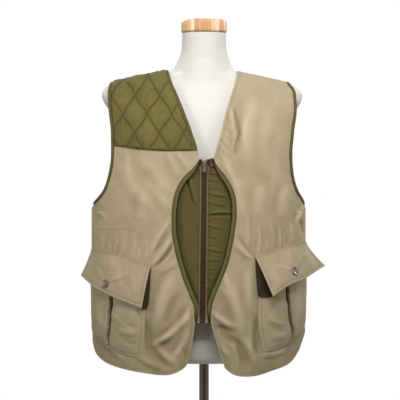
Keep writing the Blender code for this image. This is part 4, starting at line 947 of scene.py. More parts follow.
def tape(name, path, normals, away, widths, closed, node):
    """A rounded folded tape just outside a seam line; away points from the panel."""
    count = len(path)
    length = lengths_along(path)
    pull = 1 + 0.035 * np.sin(length * 2 * math.pi / 0.017) + 0.03 * np.sin(length * 2 * math.pi / 0.041 + 1)
    rings = np.zeros((count, TAPE_SIDES, 3))
    edge = np.zeros((count, TAPE_SIDES))
    for k in range(TAPE_SIDES):
        turn = 2 * math.pi * (k + 0.5) / TAPE_SIDES
        reach = 0.5 - 0.5 * math.cos(turn)
        thick = np.minimum(TAPE_THICKNESS / 2, widths / 2) * (0.55 + 0.45 * math.sin(math.pi * reach) ** 0.5)
        lift = thick * np.sign(math.sin(turn)) * abs(math.sin(turn)) ** 0.45 * pull
        along = BINDING_GAP + widths * reach * (1 + 0.25 * (pull - 1))
        rings[:, k] = path + away * along[:, None] + normals * lift[:, None]
        edge[:, k] = reach * widths
    index = np.arange(count * TAPE_SIDES).reshape(count, TAPE_SIDES)
    ahead = np.roll(index, -1, axis=1)
    if closed:
        there, there_ahead = np.roll(index, -1, axis=0), np.roll(ahead, -1, axis=0)
        faces = np.stack((index, ahead, there_ahead, there), -1).reshape(-1, 4).tolist()
    else:
        faces = np.stack((index[:-1], ahead[:-1], ahead[1:], index[1:]), -1).reshape(-1, 4).tolist()
        faces += [index[0][::-1].tolist(), index[-1].tolist()]
    item = finished(name, rings.reshape(-1, 3), faces, olive_tape, node, "olive_binding", 60)
    bm = bmesh.new()
    bm.from_mesh(item.data)
    bmesh.ops.recalc_face_normals(bm, faces=bm.faces)
    bm.to_mesh(item.data)
    bm.free()
    lay_threads(item, np.stack((edge + length[:, None], edge - length[:, None]), -1).reshape(-1, 2) * 0.7)
    mark = item.data.attributes.new("edge", "FLOAT", "POINT")
    mark.data.foreach_set("value", edge.ravel())
    return rings[:, :TAPE_SIDES // 2], normals


def away_from(path, normals, inside, closed):
    """Directions in the cloth, square to the seam line and away from the panel."""
    tangents = (np.roll(path, -1, axis=0) - np.roll(path, 1, axis=0)) if closed else np.gradient(path, axis=0)
    away = np.cross(tangents, normals)
    away /= np.linalg.norm(away, axis=1, keepdims=True)
    flip = np.einsum("ij,ij->i", away, path - inside) < 0
    away[flip] = -away[flip]
    return away


tapes = []
for side in ("right", "left"):
    surface, outward, base, normals = fronts[side]
    back_col, back_next = (0, 1) if side == "right" else (-1, -2)
    rows = np.nonzero(base[:, -1, 2] >= ARMPIT - 1e-6)[0]
    armpit_row = rows[-1]
    back_rows = np.arange(armpit_row - 1, 0, -1)
    path = np.concatenate((surface[rows, -1], back[0][back_rows, back_col]))
    ways = np.concatenate((normals[rows, -1], back[3][back_rows, back_col]))
    inside = np.concatenate((surface[rows, -2], back[0][back_rows, back_next]))
    path[0, 1] = (surface[0, -1, 1] + back[0][0, back_col, 1]) / 2
    path[armpit_row, 1] = 0.0
    inside[armpit_row] = path[armpit_row] - (0.0, 0.0, 0.01)
    # In front the tape is rolled outwards a little, so more of it is seen from there.
    ways[:, 1] -= TAPE_ROLL[side] * (ways[:, 1] < 0)
    for _ in range(6):
        path = 0.5 * path + 0.25 * (np.roll(path, 1, axis=0) + np.roll(path, -1, axis=0))
        ways = 0.5 * ways + 0.25 * (np.roll(ways, 1, axis=0) + np.roll(ways, -1, axis=0))
    ways /= np.linalg.norm(ways, axis=1, keepdims=True)
    away = away_from(path, ways, inside, True)
    widths = np.full(len(path), ARMHOLE_TAPE_WIDTH)
    tapes.append(tape("armhole_tape_" + side, path, ways, away, widths, True, "armhole_binding_" + side))

    keep = (base[:, 0, 2] < ZIP_TOP - 0.004) & (base[:, 0, 2] > ZIP_FOOT + 0.004)
    path = surface[keep, 0]
    away = away_from(path, normals[keep, 0], surface[keep, 1], False)
    widths = np.maximum(0.0012, POUCH_TAPE_WIDTH * tape_share(path[:, 2]))
    ways = normals[keep, 0]
    tapes.append(tape("pouch_tape_" + side, path, ways, away, widths, False, "pouch_binding_" + side))

# The shoulder patch: a pad of olive cotton over wadding, quilted in diamonds and sewn onto the
# right front from the shoulder seam down, with a flat olive strip along the V.
PATCH_CLOTH = 0.0018
OVERLAY_GAP = 0.0009
DIAMOND = (0.055, 0.087)
CROSSING = (-0.1000, 1.3730)
QUILT_RISE = 0.0030
PATCH_TOP_SHARE = 0.0056
V_TAPE_CLOTH = 0.0012
V_TAPE_COLUMNS = 6
# Columns: x, height of the patch's lower edge
PATCH_HEM = (
    (-0.2100, 1.2615),
    (-0.1900, 1.2590),
    (-0.1408, 1.2518),
    (-0.0813, 1.2484),
    (-0.0100, 1.2496),
)


def take(values, row, col):
    """Values of a grid at fractional rows and columns."""
    i = np.clip(np.floor(row).astype(int), 0, values.shape[0] - 2)
    j = np.clip(np.floor(col).astype(int), 0, values.shape[1] - 2)
    a = (row - i)[..., None]
    b = (col - j)[..., None]
    top = values[i, j] * (1 - b) + values[i, j + 1] * b
    low = values[i + 1, j] * (1 - b) + values[i + 1, j + 1] * b
    return top * (1 - a) + low * a


def on_patch(first, last, rows, columns):
    """The part of the right front under the patch, between two shares across."""
    base, normals = fronts["right"][2:]
    cols = (base.shape[1] - 1) * np.linspace(first, last, columns)
    top = float(np.interp(PATCH_TOP_SHARE, YOKE_SHARES, np.arange(len(YOKE_SHARES))))
    downs = np.linspace(0.0, 1.0, rows) ** 1.25
    row_grid = np.zeros((rows, columns))
    for k, col in enumerate(cols):
        line = take(base, np.arange(base.shape[0], dtype=float), np.full(base.shape[0], col))
        x = np.interp(-1.25, -line[:, 2], line[:, 0])
        end = np.interp(-float(read(PATCH_HEM, 1, x)), -line[:, 2], np.arange(len(line)))
        row_grid[:, k] = top + (end - top) * downs
    col_grid = np.broadcast_to(cols, row_grid.shape)
    points = take(base, row_grid, col_grid)
    ways = take(normals, row_grid, col_grid)
    return points, ways / np.linalg.norm(ways, axis=2, keepdims=True)


def line_bend(x, height):
    """How far the quilting lines wander, as a share of a diamond."""
    return 0.02 * np.sin(height * 130) + 0.02 * np.sin(x * 170 + 1)


points, ways = on_patch(0.0289, 0.9906, 120, 112)
across = (points[..., 0] - CROSSING[0]) / DIAMOND[0]
upward = (points[..., 2] - CROSSING[1]) / DIAMOND[1]
bend = line_bend(points[..., 0], points[..., 2])
families = (across + upward + bend, across - upward - bend)
quilt = np.abs(np.sin(math.pi * families[0])) * np.abs(np.sin(math.pi * families[1]))
border = distance_to(points, [points[0], points[-1], points[:, 0], points[:, -1]])
lines = [family - np.round(family) for family in families]
seam = np.minimum(np.abs(lines[0]), np.abs(lines[1])) * DIAMOND[0] * DIAMOND[1] / math.hypot(*DIAMOND)
seam = np.minimum(seam, border)
puff = quilt ** 0.42 * np.minimum(1.0, border / 0.006) ** 0.5
wrinkles = uneven(points, 0.011, 0.0018, 5.0, 0.40) + uneven(points, 0.0065, 0.0011, 15.0, 0.40)
rise = QUILT_RISE * puff + wrinkles * np.minimum(1.0, seam / 0.003)
# The wadding raises the outer face alone; the inner face lies plain on the front.
pad_thickness = np.maximum(PATCH_CLOTH + rise * 0.8, 0.0012)[..., None]
pad_middle = points + ways * (CLOTH / 2 + OVERLAY_GAP + pad_thickness / 2)
pad_ways = ways
quilted = woven(
    "olive_quilted_cotton", (0.205, 0.168, 0.050), (0.075, 0.061, 0.015), thread=0.00055, rough=0.78,
    sheen=0.05, stitch=0.0, line=0.85, worn=0.0,
)
# The colour is painted deeper along the quilting lines and paler on the puffs, as painted shade and painted
# light.
patch = cloth(
    "quilted_shoulder_patch", pad_middle, pad_ways, pad_thickness, quilted, "shoulder_patch",
    "olive_quilted", {"rise": (rise - 0.0020) * 0.5, "edge": seam},
)

points, ways = on_patch(0.0033, 0.0256, 120, V_TAPE_COLUMNS)
lift = CLOTH / 2 + OVERLAY_GAP + V_TAPE_CLOTH / 2
bulge = 0.0006 * np.sin(math.pi * np.linspace(0, 1, V_TAPE_COLUMNS))[None, :]
strip = points + ways * (lift + bulge + uneven(points, 0.012, 0.0004, 9.0))[..., None]
edge = np.broadcast_to(np.linspace(0, 0.0066, V_TAPE_COLUMNS), points.shape[:2]).copy()
strip_piece = cloth(
    "v_neck_tape", strip, grid_normals(strip, -1), V_TAPE_CLOTH, olive_tape, "v_neck_strip",
    "olive_binding", {"edge": edge},
)

# The inner fronts: two olive cotton panels that carry the zip and are sewn to the fronts'
# lining further out, so that each front stands off them as a pouch. The left one is gathered
# along the zip, the right one hangs smooth with one slanting fold.
LINING = 0.0012
INNER_TOP = 1.2330
INNER_FOOT = 0.8620
INNER_REACH = 0.150
INNER_END_REACH = 0.034
POUCH_DEPTH = 0.0131
POUCH_EDGE_DEPTH = 0.0020
TAPE_HALF = 0.0122
ZIP_TOP_X = 0.0009
ZIP_LEAN = 0.0047
# Columns: x and height of one end, x and height of the other, half width, bow, height
LEFT_GATHERS = (
    (0.0100, 1.1990, 0.0300, 1.1960, 0.0026, 0.000, 0.0008),
    (0.0100, 1.1860, 0.0340, 1.1810, 0.0030, 0.001, 0.0010),
    (0.0100, 1.1700, 0.0360, 1.1660, 0.0026, 0.001, 0.0009),
    (0.0100, 1.1540, 0.0500, 1.1470, 0.0036, 0.001, 0.0022),
    (0.0100, 1.1320, 0.0460, 1.1260, 0.0032, -0.001, 0.0016),
    (0.0100, 1.1080, 0.0640, 1.1090, 0.0030, -0.002, 0.0030),
    (0.0100, 1.1020, 0.0600, 1.1020, 0.0022, -0.001, -0.0018),
    (0.0100, 1.0820, 0.0380, 1.0760, 0.0032, 0.001, 0.0018),
    (0.0100, 1.0600, 0.0300, 1.0540, 0.0030, 0.001, 0.0016),
    (0.0090, 1.0400, 0.0280, 1.0370, 0.0022, 0.000, 0.0012),
    (0.0090, 1.0300, 0.0420, 1.0220, 0.0036, 0.001, 0.0020),
    (0.0090, 1.0060, 0.0340, 1.0030, 0.0028, 0.001, 0.0016),
    (0.0080, 0.9860, 0.0240, 0.9830, 0.0024, 0.000, 0.0012),
    (0.0080, 0.9640, 0.0260, 0.9600, 0.0026, 0.000, 0.0012),
    (0.0070, 0.9420, 0.0220, 0.9390, 0.0024, 0.000, 0.0008),
)
RIGHT_GATHERS = (
    (-0.0340, 1.1880, -0.0180, 1.1280, 0.0036, 0.000, 0.0036),
    (-0.0390, 1.1820, -0.0230, 1.1250, 0.0034, 0.000, -0.0024),
    (-0.0160, 1.1000, -0.0330, 1.0960, 0.0030, 0.000, 0.0006),
    (-0.0160, 1.0560, -0.0300, 1.0500, 0.0030, 0.000, 0.0006),
    (-0.0170, 1.0120, -0.0280, 1.0080, 0.0030, 0.000, 0.0006),
    (-0.0170, 0.9700, -0.0260, 0.9660, 0.0030, 0.000, 0.0006),
    (-0.0450, 1.1400, -0.0400, 1.0000, 0.0100, 0.002, 0.0010),
)


def zip_x(height):
    """x of the zip's middle line, which leans a little."""
    return ZIP_TOP_X - ZIP_LEAN * (ZIP_TOP - height) / (ZIP_TOP - ZIP_FOOT)


def front_y(x, height):
    """Depth of the fronts' surface at places seen from the front."""
    low = ring_points(-1, angle_at(x, np.minimum(height, YOKE)), np.minimum(height, YOKE))[..., 1]
    seam = read(SHOULDERS, 1, x)
    share = np.clip((seam - height) / (seam - YOKE), 0.0, 1.0)
    high = yoke_points(-1, x, share)[..., 1]
    return np.where(height <= YOKE, low, high)


def inner_points(x, height):
    """Points of the inner fronts' surface, which dips behind the fronts between its ends."""
    up = np.clip((height - INNER_FOOT) / (INNER_TOP - INNER_FOOT), 0.0, 1.0)
    open_up = np.maximum(0.0, np.sin(math.pi * up)) ** 0.6
    across = np.minimum(1.0, np.abs(x) / INNER_REACH)
    depth = POUCH_EDGE_DEPTH + POUCH_DEPTH * open_up * (1.0 - across ** 3)
    return np.stack(np.broadcast_arrays(x, front_y(x, height) + depth, height), -1)


olive_lining = woven(
    "olive_cotton_lining", (0.138, 0.114, 0.032), (0.062, 0.050, 0.013), thread=0.00050, rough=0.62,
    sheen=0.04, stitch=0.0022, line=0.35, worn=0.0,
)
heights = np.linspace(INNER_TOP - 0.002, INNER_FOOT + 0.002, 190)
for side, sign, gathers in (("right", -1, RIGHT_GATHERS), ("left", 1, LEFT_GATHERS)):
    up = np.clip((heights - INNER_FOOT) / (INNER_TOP - INNER_FOOT), 0.0, 1.0)
    reach = INNER_END_REACH + (INNER_REACH - INNER_END_REACH) * np.sin(math.pi * up) ** 0.5
    start = (TAPE_HALF - 0.0036 * np.minimum(1.0, np.sin(math.pi * up) * 3.0))[:, None]
    steps = np.linspace(0.0, 1.0, 70) ** 1.4
    x = zip_x(heights)[:, None] + sign * (start + (reach[:, None] - start) * steps)
    points = inner_points(x, np.broadcast_to(heights[:, None], x.shape))
    ways = grid_normals(points, -1)
    seam = np.broadcast_to(np.abs(x - zip_x(heights)[:, None]) - start, x.shape)
    shown = np.clip(1.0 - (np.abs(x) - 0.070) / 0.03, 0.0, 1.0)
    rise = creased(points, gathers) * shown
    amount = 0.0007 if side == "left" else 0.0003
    ripple = np.sin(heights * 2 * math.pi / 0.0095 + 2.4 * np.sin(heights * 37))[:, None]
    rise = rise + amount * ripple * np.exp(-seam / 0.007)
    over_tape = 0.0012 * (0.5 - 0.5 * np.tanh((seam - (TAPE_HALF - start) - 0.0012) / 0.0012))
    # The panel is in deep shadow where it goes behind the front's edge.
    front_edge = read(FRONT_EDGES, 1 if sign < 0 else 2, heights)[:, None]
    gap = sign * (front_edge - x) - 0.0012
    deep = 0.0036 + 0.0060 * np.exp(-((heights[:, None] - 0.958) / 0.030) ** 2)
    shade = np.clip(1.0 - gap / deep, 0.0, 1.0) ** 1.2 * 0.96
    rise = rise + uneven(points, 0.030, 0.0010, 3.0 * sign) * shown * np.minimum(1.0, seam / 0.01)
    surface = points + ways * (rise + over_tape)[..., None]
    panel = cloth(
        "inner_panel_" + side, surface, grid_normals(surface, -1), LINING, olive_lining,
        "inner_front_" + side, "olive_lining", {"rise": rise * 0.6, "edge": seam.copy(), "shade": shade},
    )
    "poplin_front_" + side

# The zip: two brown woven tapes with a row of browned metal teeth each, closed from foot to
# top, with a stop at the foot. The slider and its pull tab keep the solids' own shape and get
# finely rounded edges.
CHAIN_HALF = 0.0048
ZIP_TAPE_CLOTH = 0.0010
tape_cloth = woven(
    "brown_zip_tape_weave", (0.300, 0.218, 0.142), (0.040, 0.025, 0.015), thread=0.00080, rough=0.80,
    sheen=0.02, stitch=0.0020, line=0.25, worn=0.0,
)
heights = np.linspace(ZIP_TOP, ZIP_FOOT, 170)
for side, sign in (("right", -1), ("left", 1)):
    start = CHAIN_HALF + SEAM_GAP
    steps = np.linspace(0.0, 1.0, 9)
    x = zip_x(heights)[:, None] + sign * (start + (TAPE_HALF - start) * steps)
    points = inner_points(x, np.broadcast_to(heights[:, None], x.shape))
    ways = grid_normals(points, -1)
    ripple = np.sin(heights * 2 * math.pi / 0.013 + 2.0 * np.sin(heights * 41))[:, None] * steps
    surface = points + ways * (ripple * 0.00022)[..., None]
    # The tape's colour is painted dark beside the teeth as painted shade and pale along its outer edge as a
    # painted highlight.
    strip = cloth(
        "zip_tape_cloth_" + side, surface, grid_normals(surface, -1), ZIP_TAPE_CLOTH, tape_cloth,
        "zip_tape_" + side, "brown_zip_tape",
        {"edge": np.broadcast_to((TAPE_HALF - start) * steps, x.shape).copy(),
         "rise": np.broadcast_to((np.minimum(steps * 3.2, 1.15) - 0.64) * 0.009, x.shape).copy()},
    )
    "inner_panel_" + side


def browned_metal(name, deep, pale, rough):
    """Brass browned in a bath, paler on its raised edges: partly wear rubbed where it is handled, partly
    painted highlight.
    """
    metal = Finish(name)
    place = metal.node("ShaderNodeTexCoord", out=3)
    stain = metal.node("ShaderNodeTexNoise", None, {"Vector": place, "Scale": 420.0, "Detail": 4.0})
    raised = metal.node("ShaderNodeNewGeometry", out=7)
    # Raised edges are paler: rubbed wear and painted highlight.
    worn_edge_and_highlight = metal.node("ShaderNodeMapRange", None, {0: raised, 1: 0.50, 2: 0.58, 3: 0.0, 4: 1.0})
    tone = metal.node("ShaderNodeClamp", None, {0: stain * 0.6 + worn_edge_and_highlight * 0.6})
    bump = metal.node("ShaderNodeBump", None, {"Strength": 0.2, "Distance": 0.0001, "Height": stain})
    return metal.surface(
        Base_Color=metal.mix(tone, deep, pale), Metallic=0.85, Roughness=rough + stain * 0.15, Normal=bump,
    )


# The tapes' top ends are folded outwards under the two bindings; their colour is painted darker, as painted
# shade under the bindings, so they show as dark points.
END_LENGTH = 0.0135
END_WIDTH = 0.0125
for side, sign in (("right", -1), ("left", 1)):
    steps = np.linspace(0.0, 1.0, 14)
    downs = np.linspace(0.0, 1.0, 12)[:, None]
    height = ZIP_TOP + 0.0006 - downs * END_LENGTH - steps * 0.0030 * (1 + downs)
    x = zip_x(height) + sign * (0.0075 + steps * (END_WIDTH + 0.0040 * downs))
    points = inner_points(x, height)
    points[..., 1] -= 0.0026 + 0.0012 * np.sin(steps * 7.0) * np.sin(downs * 4.0 + 0.6)
    piece = cloth(
        "zip_tape_end_" + side, points, grid_normals(points, -1), ZIP_TAPE_CLOTH, tape_cloth, None, None,
        {"rise": np.broadcast_to(-0.003 - 0.002 * np.sin(steps * 9.0) + 0 * downs, x.shape).copy()},
    )
    "zip_tape_cloth_" + side


def bar_faces(first, rings, sides):
    """Side faces of a bar whose rings of points are counted from first."""
    faces = []
    for ring in range(rings - 1):
        a = first + ring * sides
        for k in range(sides):
            n = (k + 1) % sides
            faces.append((a + k, a + n, a + sides + n, a + sides + k))
    return faces


TOOTH_PITCH = 0.0030
CHAIN_TOP = 1.2265
CHAIN_FOOT = ZIP_FOOT + 0.0068
tooth_metal = browned_metal("browned_teeth", (0.030, 0.015, 0.008), (0.150, 0.085, 0.052), 0.32)
slider_metal = browned_metal("browned_slider", (0.060, 0.040, 0.027), (0.50, 0.39, 0.29), 0.24)
# One tooth: a block that narrows to a rounded head past the zip's middle.
# Columns: share across from the tape to the head, half width down the zip, half thickness
TOOTH = ((0.00, 0.00125, 0.0011), (0.55, 0.00120, 0.0013), (0.80, 0.00085, 0.0013), (1.00, 0.00055, 0.0009))
points = []
faces = []
for k in range(int((CHAIN_TOP - CHAIN_FOOT) / TOOTH_PITCH * 2)):
    height = CHAIN_FOOT + 0.0014 + k * TOOTH_PITCH / 2
    sign = -1 if k % 2 else 1
    middle = zip_x(height)
    y = float(inner_points(np.array(middle), np.array(height))[1])
    first = len(points)
    for share, half, thick in TOOTH:
        x = middle + sign * (CHAIN_HALF - share * (CHAIN_HALF + 0.0012))
        points += [(x, y - thick, height - half), (x, y - thick, height + half)]
        points += [(x, y + thick, height + half), (x, y + thick, height - half)]
    block = bar_faces(first, len(TOOTH), 4)
    block += [(first + 3, first + 2, first + 1, first), tuple(range(len(points) - 4, len(points)))]
    faces += block if sign > 0 else [face[::-1] for face in block]
finished("zip_teeth", points, faces, tooth_metal, "zip_chain", "zip_metal", 30)

stop_top = ZIP_FOOT + 0.0057
stop_half = CHAIN_HALF - 0.0004
y = float(inner_points(np.array(zip_x(stop_top)), np.array(stop_top - 0.003))[1])
outline = [(-1, -0.7), (-0.8, -1), (0.8, -1), (1, -0.7), (1, 0.7), (0.8, 1), (-0.8, 1), (-1, 0.7)]
points = []
for depth, grow in ((-0.0018, 0.86), (-0.0013, 1.0), (0.0013, 1.0), (0.0018, 0.86)):
    for a, b in outline:
        height = stop_top - 0.0026 + b * 0.0024 * grow
        points.append((float(zip_x(height)) + a * stop_half * grow, y + depth, height))
faces = [tuple(range(8)), tuple(range(31, 23, -1))]
for ring in range(3):
    for k in range(8):
        n = (k + 1) % 8
        faces.append((ring * 8 + k, ring * 8 + 8 + k, ring * 8 + 8 + n, ring * 8 + n))
finished("zip_foot_stop", points, faces, tooth_metal, "zip_stop", "zip_metal", 30)

for node in ("zip_slider", "zip_pull"):
    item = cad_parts[node]
    item.data.materials.clear()
    item.data.materials.append(slider_metal)
    bevel = item.modifiers.new("rounded_edges", "BEVEL")
    bevel.width = 0.00025
    bevel.segments = 2
    bevel.limit_method = "ANGLE"

# The pockets: a deep patch pocket of poplin low on each front, with one upright pleat that
# lets it swell. It is sewn at its inner edge, its foot and the side seam, and stands open.
POCKET_CLOTH = 0.0015
POCKET_LAST_COL = 0.935
# Columns: how far the pleat's slit slants, share down at which it crosses its own line, half
# width of the shadow in it
PLEATS = {"right": (0.10, 0.92, 0.0030), "left": (0.16, 0.66, 0.0044)}
# Columns: x of the inner edge at the top and at the foot, top height, foot height at the inner
# edge and at the side, share of the width at the pleat
POCKETS = {
    "right": (-0.1380, -0.1395, 0.952, 0.7845, 0.8450, 0.455),
    "left": (0.1290, 0.1310, 0.970, 0.7960, 0.8640, 0.435),
}
# Columns: x and height of one end, x and height of the other, half width, bow, height
POCKET_CREASES = {
    "right": (
        (-0.2000, 0.8800, -0.1640, 0.8600, 0.0060, 0.003, 0.0016),
        (-0.1900, 0.8700, -0.1500, 0.8500, 0.0055, -0.002, -0.0016),
        (-0.1850, 0.8480, -0.1480, 0.8400, 0.0070, 0.003, 0.0018),
        (-0.1800, 0.8280, -0.1500, 0.8150, 0.0060, 0.002, -0.0014),
        (-0.1600, 0.9200, -0.1500, 0.8700, 0.0090, 0.002, 0.0012),
        (-0.2300, 0.9000, -0.2220, 0.8500, 0.0080, 0.002, 0.0014),
    ),
    "left": (
        (0.1400, 0.8750, 0.1750, 0.8600, 0.0060, 0.003, 0.0016),
        (0.1420, 0.8560, 0.1750, 0.8420, 0.0060, 0.002, -0.0014),
        (0.1350, 0.9300, 0.1500, 0.8700, 0.0090, 0.002, 0.0014),
        (0.1450, 0.8300, 0.1800, 0.8350, 0.0070, 0.002, 0.0014),
        (0.1980, 0.9300, 0.2050, 0.8700, 0.0070, 0.002, 0.0018),
        (0.2080, 0.8900, 0.2160, 0.8500, 0.0070, 0.001, -0.0014),
    ),
}


def heights_at(grid, col):
    """Heights down one fractional column of a grid."""
    rows = np.arange(grid.shape[0], dtype=float)
    return take(grid, rows, np.full(len(rows), col))


def col_at_x(grid, x, height):
    """The fractional column where a grid passes x at a height."""
    cols = np.arange(grid.shape[1])
    xs = np.array([np.interp(-height, -grid[:, k, 2], grid[:, k, 0]) for k in cols])
    return float(np.interp(x, xs[::-1], cols[::-1])) if xs[0] > xs[-1] else float(np.interp(x, xs, cols))


def pocket(side):
    """Builds one pocket and gives back its surface."""
    base, normals = fronts[side][2:]
    top_x, foot_x, top, inner_foot, side_foot, pleat = POCKETS[side]
    starts = (col_at_x(base, top_x, top), col_at_x(base, foot_x, inner_foot + 0.01))
    end = (base.shape[1] - 1) * POCKET_LAST_COL
    shares = np.unique(np.concatenate((np.linspace(0, 1, 56), pleat + np.linspace(-0.15, 0.12, 91))))
    downs = np.linspace(0.0, 1.0, 76)
    rows = np.zeros((len(downs), len(shares)))
    cols = np.zeros(rows.shape)
    for j, along in enumerate(shares):
        foot = inner_foot + (side_foot - inner_foot) * along ** 1.5
        for i, down in enumerate(downs):
            col = starts[0] + (starts[1] - starts[0]) * down
            cols[i, j] = col + (end - col) * along
        line = heights_at(base, cols[:, j].mean())
        rows[:, j] = np.interp(-(top + (foot - top) * downs), -line[:, 2], np.arange(len(line)))
    points = take(base, rows, cols)
    ways = take(normals, rows, cols)
    ways /= np.linalg.norm(ways, axis=2, keepdims=True)
    width = np.linalg.norm(points[0, -1] - points[0, 0])
    down = downs[:, None]
    across = np.minimum(1.0, shares / 0.19) ** 0.8 * np.minimum(1.0, (1.0 - shares) / 0.50) ** 0.9
    mouth = 0.70 + 0.30 * np.minimum(1.0, down / 0.30)
    belly = across * mouth * np.cos(math.pi / 2 * down ** 2.6) ** 0.8
    # The pleat's outer fold lies over the inner one, so the slit is sharp on one side.
    slant, level, shadow = PLEATS[side]
    wander = slant * (down - level) + 0.004 * np.sin(17.0 * down) + 0.003 * np.sin(31.0 * down + 1)
    beside = (shares - pleat - wander) * width
    outer = beside > 0
    slit = np.where(outer, np.exp(-(beside / 0.0016) ** 2), np.exp(-(beside / 0.0048) ** 2))
    lip = np.exp(-((beside - 0.0055) / 0.0045) ** 2)
    lift = (0.0112 - 0.0102 * slit + 0.0020 * lip) * belly
    seat = CLOTH / 2 + OVERLAY_GAP + POCKET_CLOTH / 2
    sewn = distance_to(points, [points[-1], points[:, 0]])
    rise = creased(points, POCKET_CREASES[side]) * np.minimum(1.0, sewn / 0.02)
    rise += uneven(points, 0.035, 0.0010, 11.0) * np.minimum(1.0, sewn / 0.02)
    pucker = 0.0003 * np.sin((points[..., 0] + points[..., 2]) * 2 * math.pi / 0.0095) * np.exp(-sewn / 0.004)
    shape = points + ways * (seat + lift + rise + pucker)[..., None]
    # The pleat's slit is painted dark as painted shade, through the shade attribute and a lower rise.
    shadow = shadow * (1.0 + 0.4 * np.sin(23.0 * down))
    dark = 0.94 * np.where(outer, np.exp(-(beside / 0.0008) ** 2), np.exp(-(beside / shadow) ** 2))
    piece = cloth(
        "patch_pocket_" + side, shape, grid_normals(shape, -1), POCKET_CLOTH, poplin,
        "pocket_" + side, "tan_poplin",
        {"rise": rise - 0.0060 * slit * belly, "edge": sewn, "shade": dark * np.minimum(1.0, belly * 1.6)},
    )
    return shape


pockets = {side: pocket(side) for side in ("right", "left")}

# The flaps: two layers of poplin over each pocket, sewn along a slanting seam with two rows of
# stitching. They hang free below it, stand off at their tips and close with one button.
FLAP_CLOTH = 0.0020
FLAP_LAST_COL = 0.983
FLAP_CURLS = {"right": 0.0015, "left": 0.0050}
# Columns: share along the flap, x and height of the root, x, depth and height of the free edge
FLAPS = {
    "right": (
        (0.00, -0.1194, 0.9906, -0.1391, -0.1550, 0.8966),
        (0.22, -0.1593, 1.0047, -0.1674, -0.1470, 0.9077),
        (0.42, -0.1970, 1.0165, -0.1956, -0.1390, 0.9180),
        (0.62, -0.2240, 1.0215, -0.2229, -0.1190, 0.9300),
        (0.80, -0.2420, 1.0240, -0.2507, -0.0870, 0.9438),
        (0.91, -0.2500, 1.0250, -0.2660, -0.0600, 0.9539),
        (1.00, -0.2540, 1.0256, -0.2815, -0.0350, 0.9656),
    ),
    "left": (
        (0.00, 0.1133, 1.0110, 0.1522, -0.1620, 0.9227),
        (0.22, 0.1476, 1.0204, 0.1735, -0.1500, 0.9376),
        (0.42, 0.1785, 1.0305, 0.1980, -0.1320, 0.9514),
        (0.62, 0.2010, 1.0370, 0.2160, -0.1070, 0.9570),
        (0.80, 0.2170, 1.0405, 0.2323, -0.0800, 0.9626),
        (0.91, 0.2250, 1.0425, 0.2547, -0.0550, 0.9754),
        (1.00, 0.2290, 1.0436, 0.2766, -0.0320, 0.9876),
    ),
}
# Columns: share along the flap, share from the root to the free edge
BUTTON_PLACES = {"right": (0.590, 0.76), "left": (0.500, 0.70)}
# Columns: x and height of one end, x and height of the other, half width, bow, height
FLAP_CREASES = {
    "right": (
        (-0.2160, 0.9580, -0.2150, 0.9750, 0.0016, 0.000, 0.0014),
        (-0.2140, 0.9560, -0.1700, 0.9760, 0.0050, 0.002, 0.0018),
        (-0.2150, 0.9640, -0.2060, 1.0050, 0.0050, 0.001, 0.0014),
        (-0.2300, 0.9600, -0.2420, 0.9850, 0.0050, 0.001, 0.0010),
        (-0.1600, 0.9700, -0.1500, 0.9250, 0.0060, 0.002, 0.0012),
        (-0.1850, 0.9850, -0.1700, 0.9400, 0.0080, 0.003, -0.0012),
    ),
    "left": (
        (0.1980, 0.9830, 0.1970, 1.0000, 0.0016, 0.000, 0.0014),
        (0.1950, 0.9800, 0.1600, 0.9900, 0.0050, 0.002, 0.0018),
        (0.1960, 0.9900, 0.1880, 1.0250, 0.0050, 0.001, 0.0014),
        (0.2050, 0.9850, 0.2250, 1.0150, 0.0060, 0.001, 0.0010),
        (0.1500, 0.9950, 0.1700, 0.9450, 0.0070, 0.002, 0.0014),
        (0.2300, 1.0200, 0.2500, 0.9900, 0.0060, 0.002, 0.0012),
    ),
}


def flap(side):
    """Builds one flap and gives back its surface and the ways out of it."""
    base, normals = fronts[side][2:]
    table = FLAPS[side]
    shares = np.linspace(0.0, 1.0, 72)
    downs = np.linspace(0.0, 1.0, 44)
    seat = CLOTH / 2 + OVERLAY_GAP + FLAP_CLOTH / 2
    points = np.zeros((len(downs), len(shares), 3))
    last = (base.shape[1] - 1) * FLAP_LAST_COL
    for j, share in enumerate(shares):
        root_height = float(read(table, 2, share))
        col = min(col_at_x(base, float(read(table, 1, share)), root_height), last)
        line = heights_at(base, col)
        row = np.interp(-root_height, -line[:, 2], np.arange(len(line)))
        place = take(base, np.array(row), np.array(col))
        way = take(normals, np.array(row), np.array(col))
        root = place + way * seat
        edge = np.array([float(read(table, k, share)) for k in (3, 4, 5)])
        out = downs ** (1.0 + 0.9 * max(0.0, share - 0.6))
        belly = 0.0040 * np.sin(math.pi * downs) * (1.0 - share)
        travel = np.stack((out, out, downs), -1)
        points[:, j] = root + (edge - root) * travel + way * belly[:, None]
    ways = grid_normals(points, -1)
    free = distance_to(points, [points[-1], points[:, 0], points[:, -1]])
    sewn = distance_to(points, [points[0]])
    loose = np.minimum(1.0, sewn / 0.02)
    rise = creased(points, FLAP_CREASES[side]) * loose + uneven(points, 0.03, 0.0012, 17.0) * loose
    rise = rise + FLAP_CURLS[side] * np.exp(-shares / 0.05)[None, :] * downs[:, None] ** 0.8
    edge = np.minimum(free, sewn + 0.0030)
    shape = points + ways * (rise + hemmed(points, free, 0.0060, 0.0004, 0.0003))[..., None]
    outward = grid_normals(shape, -1)
    piece = cloth(
        "pocket_flap_cloth_" + side, shape, outward, FLAP_CLOTH, poplin, "pocket_flap_" + side,
        "tan_poplin", {"rise": rise * 0.6, "edge": edge},
    )
    return shape, outward


flaps = {side: flap(side) for side in ("right", "left")}

